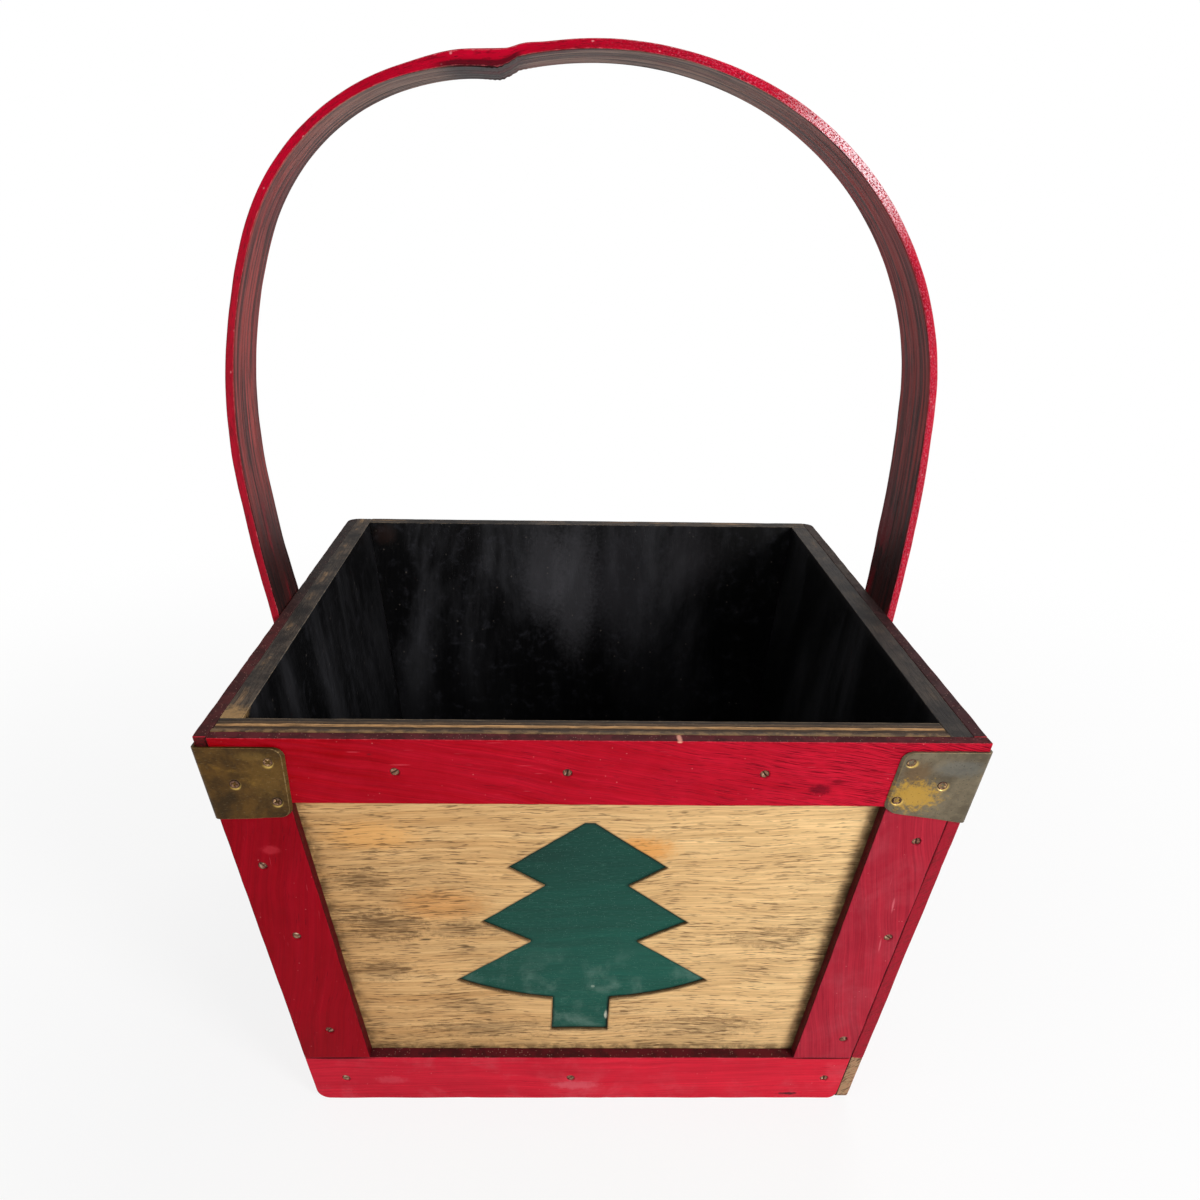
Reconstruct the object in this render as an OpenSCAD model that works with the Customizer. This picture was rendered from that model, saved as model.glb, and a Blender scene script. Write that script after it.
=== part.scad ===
// Square wooden basket with a bentwood handle and a tree cut-out on its front wall.
// Millimetres, +Z up, X to the right, Y towards the back; the origin is the centre of
// the underside. The four walls lean outwards by the same angle.
//
// Every wall is drawn as if it were the right-hand one and is then turned about Z.
// On a wall, "depth" is measured at right angles to it, inwards from the plane of the
// outer faces of the frame strips, "down" follows the slope from the rim, and "along"
// runs level, to the right for somebody who looks at the wall from outside.

/* [Box] */
// Width and depth over the frame strips at the rim
top_width = 305; // [297:1:318]
// Width and depth over the frame strips at the underside
base_width = 248.6; // [236:0.2:262]
// Height of the walls
wall_height = 204; // [180:1:240]
// Thickness of the plywood of the walls and the floor
ply = 9; // [6:0.5:12]
// Radius of the two upright edges at the back
back_round = 7; // [3:0.5:9]

/* [Frame strips] */
// Thickness of the strips
strip = 5.5; // [4:0.5:8]
// Width of the top rails, down the slope
top_rail = 31; // [27:0.5:36]
// Width of the bottom rails, down the slope
bottom_rail = 28; // [22:0.5:34]
// Width of the stiles
stile = 32; // [26:0.5:38]
// Radius of the lower left corner of the front
foot_round = 8; // [3:0.5:10]

/* [Tree] */
// Thickness of the natural sheet on the front wall
sheet = 2.4; // [2:0.1:4]
// Thickness of the tree that lies in its cut-out
tree_sheet = 0.6; // [0.4:0.1:1.6]
// Width of the tree
tree_width = 111; // [80:1:130]
// Height of the tree
tree_height = 120; // [90:1:126]
// From the rim down to the top of the tree
tree_down = 44.7; // [40:0.1:48]
// How far the tree stands to the left of the middle
tree_aside = 2.9; // [0:0.1:8]
// Size of the tree as a share of its cut-out
tree_fit_share = 0.99; // [0.96:0.005:1]

/* [Corner brackets] */
// Thickness of the brackets
bracket = 1.2; // [0.8:0.1:2]
// Reach of a bracket along each wall
bracket_reach = 35; // [31:0.5:40]
// Length of a bracket at its bend
bracket_length = 35.2; // [33:0.2:40]
// From the rim down to the brackets
bracket_down = 3.7; // [2:0.1:5]
// Radius of the corners of a bracket
bracket_round = 4.5; // [1:0.5:6]

/* [Screws] */
// Head of the screws in the strips
screw_head = 3.6; // [3:0.1:5]
// How deep those heads are sunk
screw_sink = 0.5; // [0:0.1:1]
// Length of the screws in the strips
screw_length = 14; // [12:0.5:15]
// Shank of all screws
screw_shank = 2.2; // [1.6:0.1:2.6]
// Head of the screws in the brackets
pin_head = 4.4; // [3.4:0.1:4.6]
// Length of the screws in the brackets
pin_length = 9; // [6:0.5:10]
// Head of the screws in the handle
bolt_head = 6; // [4:0.5:8]
// Length of the screws in the handle
bolt_length = 16; // [13:0.5:17]
// Width of the slots in the heads
slot_width = 0.5; // [0.3:0.1:0.7]
// Depth of the slots in the heads
slot_depth = 0.4; // [0.2:0.1:0.5]

/* [Handle] */
// Width of the handle strap
strap_width = 40; // [30:1:50]
// Thickness of the handle strap
strap = 4; // [3:0.5:6]
// Height of the handle above the rim
handle_rise = 258.2; // [250:0.2:264]
// How far the crown lies below that height on the left of the dent
dent_step = 4.6; // [4:0.1:6]
// Radius of the dent in the crown
dent_round = 13; // [8:0.5:20]
// Distance from the middle to the top of the crown on the right of the dent
crown_right = 2.9; // [0:0.1:6]
// Distance from the middle to the top of the crown on the left of the dent
crown_left = 35.4; // [32:0.2:40]
// Length of the handle that lies on each side wall
handle_lap = 30; // [24:0.5:30]

/* [Hidden] */
$fn = 96;

// Turns that bring the right-hand wall to each side
front_turn = -90;
right_turn = 0;
back_turn = 90;
left_turn = 180;

// Slope of the walls
flare = (top_width - base_width) / 2;
lean = atan2(flare, wall_height);
slope_length = norm([flare, wall_height]);
// How far cuts run past what they cut, and how far slices reach
overrun_share = 0.2;
overrun = overrun_share * strip;
far = 2 * top_width;
// Largest turn between two points of an arc
arc_step = 2;

// Depths of the layers of the front wall and of the side walls
front_sheet = strip;
front_ply = strip + sheet;
front_inside = front_ply + ply;
side_inside = strip + ply;

// Screws of the front rails, as shares of the width there, and of its stiles, as shares
// of the slope and of the stile's width
top_screw_shares = [-0.2556, -0.0345, 0.2201];
bottom_screw_shares = [-0.4384, -0.0266, 0.4432];
left_screw_shares = [[0.307, 0.33], [0.495, 0.46], [0.776, 0.48]];
right_screw_shares = [[0.237, 0.29], [0.495, 0.16], [0.803, 0.22]];
// Screws of the frames on the side walls
side_rail_screw_shares = [-0.2556, 0.2556];
side_stile_screw_shares = [0.3, 0.5, 0.78];
// Point of a screw as a share of its shank, slots in a head as a share of the head
point_share = 0.25;
slot_share = 0.64;
// Screws of a bracket leaf: share of its reach, share of its length
pin_shares = [[0.8, 0.19], [0.4, 0.49], [0.84, 0.73]];
// Screws of a handle end: share of the strap's width, share of the lap
bolt_shares = [[-0.26, 0.34], [0.26, 0.68]];
// Handle: radii of the crown and the sides as shares of the top's width, straight legs
// as shares of the rise, radius of the shoulders as a share of the largest that fits
crown_right_share = 0.5613;
side_right_share = 2.02;
straight_right_share = 0.052;
shoulder_right_share = 0.928;
crown_left_share = 0.519;
side_left_share = 0.832;
straight_left_share = 0.237;
shoulder_left_share = 0.747;
// Tree: half widths as shares of its half width, heights as shares of its height
tip_flat_share = 0.035;
tree_shares = [[0.597, 0.195], [0.318, 0.279], [0.797, 0.449], [0.418, 0.545]];
skirt_share = 0.737;
skirt_sag_share = 0.102;
trunk_share = 0.229;

red = [0.66, 0.04, 0.13];
ply_black = [0.05, 0.05, 0.055];
natural = [0.78, 0.62, 0.40];
green = [0.06, 0.30, 0.22];
brass = [0.42, 0.35, 0.18];
screw_grey = [0.35, 0.30, 0.26];

// Half width of the box at a level, at a depth inside the outer planes
function half_at(level, depth) =
    base_width / 2 + flare * level / wall_height - depth / cos(lean);

// Point of a wall's section, given how far down and how deep it lies
function on_slope(down, depth) = [
    top_width / 2 - down * sin(lean) - depth * cos(lean),
    wall_height - down * cos(lean) + depth * sin(lean)];

// Width of a wall over its frame, given how far down
function width_at(down) = 2 * on_slope(down, 0)[0];

function unit(v) = v / norm(v);
function turned(a) = [cos(a), sin(a)];
function bearing(v) = atan2(v[1], v[0]);

// Where two circles cross: the crossing on the left of the line from a to b
function crossing(a, ra, b, rb) =
    let (d = norm(b - a), e = (b - a) / d, m = (d * d + ra * ra - rb * rb) / (2 * d),
        n = sqrt(ra * ra - m * m))
    a + m * e + n * [-e[1], e[0]];

// What rounds off the corner p between neighbours a and b, to be cut away
module corner_waste(p, a, b, r) {
    u = unit(a - p);
    v = unit(b - p);
    w = unit(u + v);
    half = acos(u * v) / 2;
    c = p + w * r / sin(half);
    t1 = p + u * r / tan(half);
    t2 = p + v * r / tan(half);
    difference() {
        polygon([c, t1, t1 + unit(t1 - c) * overrun, p - 2 * w * overrun,
            t2 + unit(t2 - c) * overrun, t2]);
        translate(c) circle(r = r);
    }
}

// Layer of a wall between two depths, from one distance down the slope to another;
// it is flush with the rim and the underside where it reaches them
module layer(depth0, depth1, down0, down1) {
    rotate([90, 0, 0])
        linear_extrude(height = far, center = true)
            polygon([
                down0 <= 0 ? [half_at(wall_height, depth0), wall_height]
                    : on_slope(down0, depth0),
                down0 <= 0 ? [half_at(wall_height, depth1), wall_height]
                    : on_slope(down0, depth1),
                down1 >= slope_length ? [half_at(0, depth1), 0] : on_slope(down1, depth1),
                down1 >= slope_length ? [half_at(0, depth0), 0] : on_slope(down1, depth0)]);
}

// Everything between two planes parallel to the neighbouring walls
module between(depth_left, depth_right) {
    low = -overrun;
    high = wall_height + overrun;
    rotate([90, 0, 90])
        linear_extrude(height = far, center = true)
            polygon([[-half_at(low, depth_left), low], [half_at(low, depth_right), low],
                [half_at(high, depth_right), high], [-half_at(high, depth_left), high]]);
}

// Everything between two depths inside the left-hand neighbour of a wall
module beside(depth0, depth1) {
    low = -overrun;
    high = wall_height + overrun;
    rotate([90, 0, 90])
        linear_extrude(height = far, center = true)
            polygon([[-half_at(low, depth0), low], [-half_at(low, depth1), low],
                [-half_at(high, depth1), high], [-half_at(high, depth0), high]]);
}

// Puts a drawing on the outer face: x runs down, y along, z outwards
module on_face(down, along) {
    place = on_slope(down, 0);
    translate([place[0], along, place[1]])
        rotate([0, 90 + lean, 0])
            children();
}

// Part of the frame or of a panel on one wall
module board(turn, depths, downs, ends) {
    rotate([0, 0, turn])
        intersection() {
            layer(depths[0], depths[1], downs[0], downs[1]);
            between(ends[0], ends[1]);
        }
}

module left_stile_on(turn, depth) {
    rotate([0, 0, turn])
        intersection() {
            layer(0, strip, top_rail, slope_length - bottom_rail);
            beside(depth, depth + stile);
        }
}

module right_stile_on(turn, depth) {
    rotate([0, 0, turn])
        intersection() {
            layer(0, strip, top_rail, slope_length - bottom_rail);
            mirror([0, 1, 0]) beside(depth, depth + stile);
        }
}

// Waste of the rounded upright edge between a wall and its right-hand neighbour
module back_edge_waste() {
    edge = [flare, flare, wall_height];
    spread = acos(-pow(sin(lean), 2));
    start = [base_width / 2, base_width / 2, 0];
    translate(start)
        rotate([0, acos(unit(edge) * [0, 0, 1]), 45])
            translate([0, 0, -back_round])
                linear_extrude(height = norm(edge) + 2 * back_round)
                    corner_waste([0, 0], -[cos(spread / 2), sin(spread / 2)] * far,
                        -[cos(spread / 2), -sin(spread / 2)] * far, back_round);
}

module rounded_back() {
    difference() {
        children();
        back_edge_waste();
        mirror([1, 0, 0]) back_edge_waste();
    }
}

// Screws: z runs outwards, zero is the face they are driven into

module screw_body(head, sink, length, clearance) {
    neck = (head - screw_shank) / 2;
    tip = screw_shank;
    translate([0, 0, -sink - neck])
        cylinder(d1 = screw_shank, d2 = head, h = neck);
    translate([0, 0, tip - length])
        cylinder(d = screw_shank, h = length - sink - neck - tip);
    translate([0, 0, -length])
        cylinder(d1 = point_share * screw_shank, d2 = screw_shank, h = tip);
    if (clearance)
        translate([0, 0, -sink]) cylinder(d = head, h = sink + overrun);
}

module slots(head, sink) {
    for (a = [0, 90])
        rotate([0, 0, a])
            translate([-slot_share * head / 2, -slot_width / 2, -sink - slot_depth])
                cube([slot_share * head, slot_width, slot_depth + overrun]);
}

module screw(head, sink, length, clearance) {
    if (clearance) screw_body(head, sink, length, true);
    else difference() {
        screw_body(head, sink, length, false);
        slots(head, sink);
    }
}

// Screws of a rail whose middle line lies that far down
module rail_screws(down, shares, clearance) {
    for (share = shares)
        on_face(down, share * width_at(down))
            screw(screw_head, screw_sink, screw_length, clearance);
}

module front_screw_set(clearance) {
    rotate([0, 0, front_turn]) {
        rail_screws(top_rail / 2, top_screw_shares, clearance);
        rail_screws(slope_length - bottom_rail / 2, bottom_screw_shares, clearance);
        for (pair = left_screw_shares) {
            down = pair[0] * slope_length;
            on_face(down, -on_slope(down, 0)[0] + pair[1] * stile)
                screw(screw_head, screw_sink, screw_length, clearance);
        }
        for (pair = right_screw_shares) {
            down = pair[0] * slope_length;
            on_face(down, on_slope(down, 0)[0] - strip - pair[1] * stile)
                screw(screw_head, screw_sink, screw_length, clearance);
        }
    }
}

// Screws of one side wall; the setbacks are those of the stiles at its two ends
module side_screw_set(turn, setbacks, clearance) {
    rotate([0, 0, turn]) {
        rail_screws(top_rail / 2, side_rail_screw_shares, clearance);
        rail_screws(slope_length - bottom_rail / 2, side_rail_screw_shares, clearance);
        for (share = side_stile_screw_shares) {
            down = share * slope_length;
            reach = on_slope(down, 0)[0];
            on_face(down, setbacks[0] + stile / 2 - reach)
                screw(screw_head, screw_sink, screw_length, clearance);
            on_face(down, reach - setbacks[1] - stile / 2)
                screw(screw_head, screw_sink, screw_length, clearance);
        }
    }
}

module side_screw_sets(clearance) {
    side_screw_set(right_turn, [0, 0], clearance);
    side_screw_set(left_turn, [0, strip], clearance);
}

// Screws of the bracket leaf at the left end of a wall
module leaf_pins(clearance) {
    for (pair = pin_shares) {
        down = bracket_down + pair[1] * bracket_length;
        on_face(down, pair[0] * bracket_reach - top_width / 2)
            translate([0, 0, bracket])
                screw(pin_head, 0, pin_length, clearance);
    }
}

module bracket_pins(clearance) {
    rotate([0, 0, front_turn]) {
        leaf_pins(clearance);
        mirror([0, 1, 0]) leaf_pins(clearance);
    }
    rotate([0, 0, right_turn]) leaf_pins(clearance);
    rotate([0, 0, left_turn]) mirror([0, 1, 0]) leaf_pins(clearance);
}

module handle_bolts(clearance) {
    for (turn = [right_turn, left_turn])
        rotate([0, 0, turn])
            for (pair = bolt_shares)
                on_face(pair[1] * handle_lap, pair[0] * strap_width)
                    translate([0, 0, strap])
                        screw(bolt_head, 0, bolt_length, clearance);
}

// Floor and walls

module floor_panel() {
    color(ply_black)
        intersection() {
            rotate([90, 0, 0])
                linear_extrude(height = far, center = true)
                    polygon([[-half_at(0, side_inside), 0], [half_at(0, side_inside), 0],
                        [half_at(ply, side_inside), ply], [-half_at(ply, side_inside), ply]]);
            between(front_inside, ply);
        }
}

module front_panel() {
    color(ply_black)
        difference() {
            board(front_turn, [front_ply, front_inside], [0, slope_length],
                [strip, side_inside]);
            front_screw_set(true);
            bracket_pins(true);
        }
}

module right_panel() {
    color(ply_black)
        difference() {
            board(right_turn, [strip, side_inside], [0, slope_length], [strip, ply]);
            front_screw_set(true);
            side_screw_set(right_turn, [0, 0], true);
            bracket_pins(true);
            handle_bolts(true);
        }
}

module back_panel() {
    color(ply_black)
        rounded_back()
            board(back_turn, [0, ply], [0, slope_length], [strip, side_inside]);
}

module left_panel() {
    color(ply_black)
        difference() {
            rounded_back()
                board(left_turn, [strip, side_inside], [0, slope_length],
                    [0, front_inside]);
            side_screw_set(left_turn, [0, strip], true);
            bracket_pins(true);
            handle_bolts(true);
        }
}

// Natural sheet with the tree

// Tree with its top at the origin; x runs down, y along
module tree_outline() {
    h = tree_height;
    w = tree_width / 2;
    sag = skirt_sag_share * h;
    skirt = skirt_share * h;
    skirt_radius = (w * w + sag * sag) / (2 * sag);
    one_side = concat([[0, tip_flat_share * w]], [for (p = tree_shares) [p[1] * h, p[0] * w]]);
    other_side = [for (i = [len(one_side) - 1 : -1 : 0]) [one_side[i][0], -one_side[i][1]]];
    intersection() {
        translate([skirt + sag - skirt_radius, 0]) circle(r = skirt_radius, $fn = 360);
        polygon(concat(one_side, [[skirt, w], [h, w], [h, -w], [skirt, -w]], other_side));
    }
    translate([skirt, -trunk_share * w]) square([h - skirt, 2 * trunk_share * w]);
}

module face_sheet() {
    color(natural)
        difference() {
            board(front_turn, [front_sheet, front_ply], [0, slope_length],
                [strip, side_inside]);
            rotate([0, 0, front_turn])
                on_face(tree_down, -tree_aside)
                    translate([0, 0, -front_ply - overrun])
                        linear_extrude(height = sheet + 2 * overrun) tree_outline();
            front_screw_set(true);
            bracket_pins(true);
        }
}

module tree() {
    color(green)
        rotate([0, 0, front_turn])
            on_face(tree_down, -tree_aside)
                translate([tree_height * (1 - tree_fit_share) / 2, 0, -front_ply])
                    linear_extrude(height = tree_sheet)
                        scale(tree_fit_share) tree_outline();
}

// Frame strips

module front_top_rail() {
    color(red)
        difference() {
            board(front_turn, [0, strip], [0, top_rail], [strip, 0]);
            front_screw_set(true);
            bracket_pins(true);
        }
}

module front_bottom_rail() {
    low = half_at(0, 0);
    color(red)
        difference() {
            board(front_turn, [0, strip], [slope_length - bottom_rail, slope_length],
                [0, strip]);
            translate([0, -base_width / 2, 0])
                rotate([90, 0, 0])
                    linear_extrude(height = 4 * strip, center = true)
                        corner_waste([-low, 0], [0, 0],
                            [-half_at(bottom_rail, 0), bottom_rail], foot_round);
            front_screw_set(true);
        }
}

module front_left_stile() {
    color(red)
        difference() {
            left_stile_on(front_turn, 0);
            front_screw_set(true);
        }
}

module front_right_stile() {
    color(red)
        difference() {
            right_stile_on(front_turn, strip);
            front_screw_set(true);
        }
}

module right_top_rail() {
    color(red)
        difference() {
            rounded_back() board(right_turn, [0, strip], [0, top_rail], [strip, 0]);
            side_screw_set(right_turn, [0, 0], true);
            bracket_pins(true);
            handle_bolts(true);
        }
}

module right_bottom_rail() {
    color(red)
        difference() {
            rounded_back()
                board(right_turn, [0, strip], [slope_length - bottom_rail, slope_length],
                    [0, 0]);
            side_screw_set(right_turn, [0, 0], true);
        }
}

module right_front_stile() {
    color(red)
        difference() {
            left_stile_on(right_turn, 0);
            side_screw_set(right_turn, [0, 0], true);
        }
}

module right_back_stile() {
    color(red)
        difference() {
            rounded_back() right_stile_on(right_turn, 0);
            side_screw_set(right_turn, [0, 0], true);
        }
}

module left_top_rail() {
    color(red)
        difference() {
            rounded_back() board(left_turn, [0, strip], [0, top_rail], [0, 0]);
            side_screw_set(left_turn, [0, strip], true);
            bracket_pins(true);
            handle_bolts(true);
        }
}

module left_bottom_rail() {
    color(red)
        difference() {
            rounded_back()
                board(left_turn, [0, strip], [slope_length - bottom_rail, slope_length],
                    [0, strip]);
            side_screw_set(left_turn, [0, strip], true);
        }
}

module left_front_stile() {
    color(red)
        difference() {
            right_stile_on(left_turn, strip);
            side_screw_set(left_turn, [0, strip], true);
        }
}

module left_back_stile() {
    color(red)
        difference() {
            rounded_back() left_stile_on(left_turn, 0);
            side_screw_set(left_turn, [0, strip], true);
        }
}

// Corner brackets

// Leaf at the left end of a wall; its lower edge is square to the corner
module bracket_leaf() {
    rise = bracket_reach * tan(lean);
    near = top_width / 2 - bracket_reach;
    out = top_width / 2 + 2 * bracket;
    top_in = [bracket_down, -near];
    low_in = [bracket_down + bracket_length - rise, -near];
    low_out = [bracket_down + bracket_length + 2 * bracket * tan(lean), -out];
    top_out = [bracket_down, -out];
    intersection() {
        on_face(0, 0)
            linear_extrude(height = bracket)
                difference() {
                    polygon([top_in, low_in, low_out, top_out]);
                    corner_waste(top_in, low_in, top_out, bracket_round);
                    corner_waste(low_in, top_in, low_out, bracket_round);
                }
        between(-bracket, -bracket);
    }
}

module left_bracket() {
    color(brass)
        difference() {
            union() {
                rotate([0, 0, front_turn]) bracket_leaf();
                rotate([0, 0, left_turn]) mirror([0, 1, 0]) bracket_leaf();
            }
            bracket_pins(true);
        }
}

module right_bracket() {
    color(brass)
        difference() {
            union() {
                rotate([0, 0, front_turn]) mirror([0, 1, 0]) bracket_leaf();
                rotate([0, 0, right_turn]) bracket_leaf();
            }
            bracket_pins(true);
        }
}

// The screws as nodes

module bracket_screws() {
    color(screw_grey) bracket_pins(false);
}

module front_screws() {
    color(screw_grey) front_screw_set(false);
}

module side_screws() {
    color(screw_grey) side_screw_sets(false);
}

module handle_screws() {
    color(screw_grey) handle_bolts(false);
}

// Handle, drawn in its section: x to the right, y upwards

// Points that follow the first one along an arc, up to its last one
function arc(centre, radius, from, to) =
    let (count = ceil(abs(to - from) / arc_step))
    [for (i = [1 : count]) centre + radius * turned(from + (to - from) * i / count)];

// Arcs of one half of the handle, drawn as the right-hand one, from the leg to the dent:
// centre, radius of the outer face, first bearing, last bearing
function half_arcs(straight, side_radius, crown, crown_radius, fullness, last) =
    let (side = on_slope(-straight, side_radius - strap),
        reach = norm(side - crown),
        shoulder_radius = fullness * (side_radius + crown_radius - reach) / 2,
        shoulder = crossing(side, side_radius - shoulder_radius,
            crown, crown_radius - shoulder_radius),
        low = bearing(shoulder - side),
        high = bearing(shoulder - crown))
    [[side, side_radius, -lean, low], [shoulder, shoulder_radius, low, high],
        [crown, crown_radius, high, last]];

// Line along one half, at a depth inside its outer face
function half_line(straight, arcs, inset) = concat(
    [on_slope(handle_lap, inset - strap), on_slope(-straight, inset - strap)],
    [for (a = arcs, p = arc(a[0], a[1] - inset, a[2], a[3])) p]);

function mirrored(points) = [for (p = points) [-p[0], p[1]]];
function backwards(points) = [for (i = [len(points) - 1 : -1 : 0]) points[i]];
function all_but_first(points) = [for (i = [1 : len(points) - 1]) points[i]];

module handle_strap() {
    top = wall_height + handle_rise;
    straight_right = straight_right_share * handle_rise;
    straight_left = straight_left_share * handle_rise;
    radius_right = crown_right_share * top_width;
    radius_left = crown_left_share * top_width;
    centre_right = [crown_right, top - radius_right];
    centre_left = [-crown_left, top - dent_step - radius_left];
    dent = crossing(centre_left, radius_left + dent_round,
        centre_right, radius_right + dent_round);
    right = half_arcs(straight_right, side_right_share * top_width, centre_right,
        radius_right, shoulder_right_share, bearing(dent - centre_right));
    left = half_arcs(straight_left, side_left_share * top_width,
        [crown_left, centre_left[1]], radius_left, shoulder_left_share,
        180 - bearing(dent - centre_left));
    dent_from = bearing(centre_right - dent);
    dent_to = bearing(centre_left - dent);
    outer = concat(half_line(straight_right, right, 0),
        arc(dent, dent_round, dent_from, dent_to),
        mirrored(all_but_first(backwards(half_line(straight_left, left, 0)))));
    inner = concat(half_line(straight_right, right, strap),
        arc(dent, dent_round + strap, dent_from, dent_to),
        mirrored(all_but_first(backwards(half_line(straight_left, left, strap)))));
    rotate([90, 0, 0])
        linear_extrude(height = strap_width, center = true)
            polygon(concat(outer, backwards(inner)));
}

module handle() {
    color(red)
        difference() {
            handle_strap();
            handle_bolts(true);
        }
}

floor_panel();
front_panel();
right_panel();
back_panel();
left_panel();
face_sheet();
tree();
front_top_rail();
front_bottom_rail();
front_left_stile();
front_right_stile();
right_top_rail();
right_bottom_rail();
right_front_stile();
right_back_stile();
left_top_rail();
left_bottom_rail();
left_front_stile();
left_back_stile();
left_bracket();
right_bracket();
bracket_screws();
front_screws();
side_screws();
handle();
handle_screws();
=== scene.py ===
"""Looks of a square wooden basket with a bentwood handle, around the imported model.

Everything is in metres, in the model's frame: X to the right, Y towards the back, Z up,
origin in the middle of the underside. On a wall, "along" runs level and to the right for
somebody who looks at it from outside, "down" follows the slope from the rim, and "depth"
is measured inwards from the outer faces of the frame strips.
"""

from __future__ import annotations

import logging
import math
from dataclasses import dataclass, field, replace
from enum import Enum

import bpy
import numpy as np
from mathutils import Matrix, Vector
from mathutils.geometry import delaunay_2d_cdt
from numpy.typing import NDArray


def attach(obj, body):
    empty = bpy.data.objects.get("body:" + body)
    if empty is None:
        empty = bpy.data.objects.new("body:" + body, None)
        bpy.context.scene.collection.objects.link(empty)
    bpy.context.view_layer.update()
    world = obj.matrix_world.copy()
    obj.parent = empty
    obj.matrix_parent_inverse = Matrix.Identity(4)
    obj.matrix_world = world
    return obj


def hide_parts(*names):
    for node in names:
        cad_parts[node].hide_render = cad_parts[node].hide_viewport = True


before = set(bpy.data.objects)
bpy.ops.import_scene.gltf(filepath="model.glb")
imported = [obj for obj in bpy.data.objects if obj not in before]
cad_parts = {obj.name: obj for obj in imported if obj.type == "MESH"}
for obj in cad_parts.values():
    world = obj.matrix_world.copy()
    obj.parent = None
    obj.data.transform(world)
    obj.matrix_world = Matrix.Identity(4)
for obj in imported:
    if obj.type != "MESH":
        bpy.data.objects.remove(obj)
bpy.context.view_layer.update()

LOG = logging.getLogger("basket")
MM = 0.001
TINY = 1e-9
BODY = "root"

Fields = dict[str, NDArray]
Pair = tuple[float, float]
Triple = tuple[float, float, float]
Steps = tuple[int, int, int]
Ends = tuple[tuple[int, float], tuple[int, float]]


def ink(steps: Steps) -> tuple[float, ...]:
    """Turn a colour in display steps of 0 to 255 into a linear shader colour.

    Args:
        steps: Red, green and blue.

    Returns:
        Linear red, green, blue and an alpha of one.
    """
    shares = np.array(steps) / 255.0
    linear = np.where(shares <= 0.04045, shares / 12.92, ((shares + 0.055) / 1.055) ** 2.4)
    return (*linear.tolist(), 1.0)


def soft_step(value: NDArray, low: float, high: float) -> NDArray:
    """Rise smoothly from nought at low to one at high, as 3 t squared minus 2 t cubed."""
    t = np.clip((value - low) / (high - low), 0.0, 1.0)
    return t * t * (3.0 - 2.0 * t)


def bell(gap: NDArray, width: float) -> NDArray:
    """Bell curve of a gap: e to the minus square of the gap over the width."""
    return np.exp(-((gap / width) ** 2))


def unit(vectors: NDArray) -> NDArray:
    """Rows of vectors, each divided by its length."""
    return vectors / np.linalg.norm(vectors, axis=1, keepdims=True)


def turned(x: NDArray, y: NDArray, angle: float) -> tuple[NDArray, NDArray]:
    """Plane coordinates turned by an angle in radians."""
    return x * math.cos(angle) - y * math.sin(angle), x * math.sin(angle) + y * math.cos(angle)


# The box and its walls


class Side(Enum):
    """The four walls, by the turn about Z that brings the right-hand wall there."""

    FRONT = -90.0
    RIGHT = 0.0
    BACK = 90.0
    LEFT = 180.0


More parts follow.
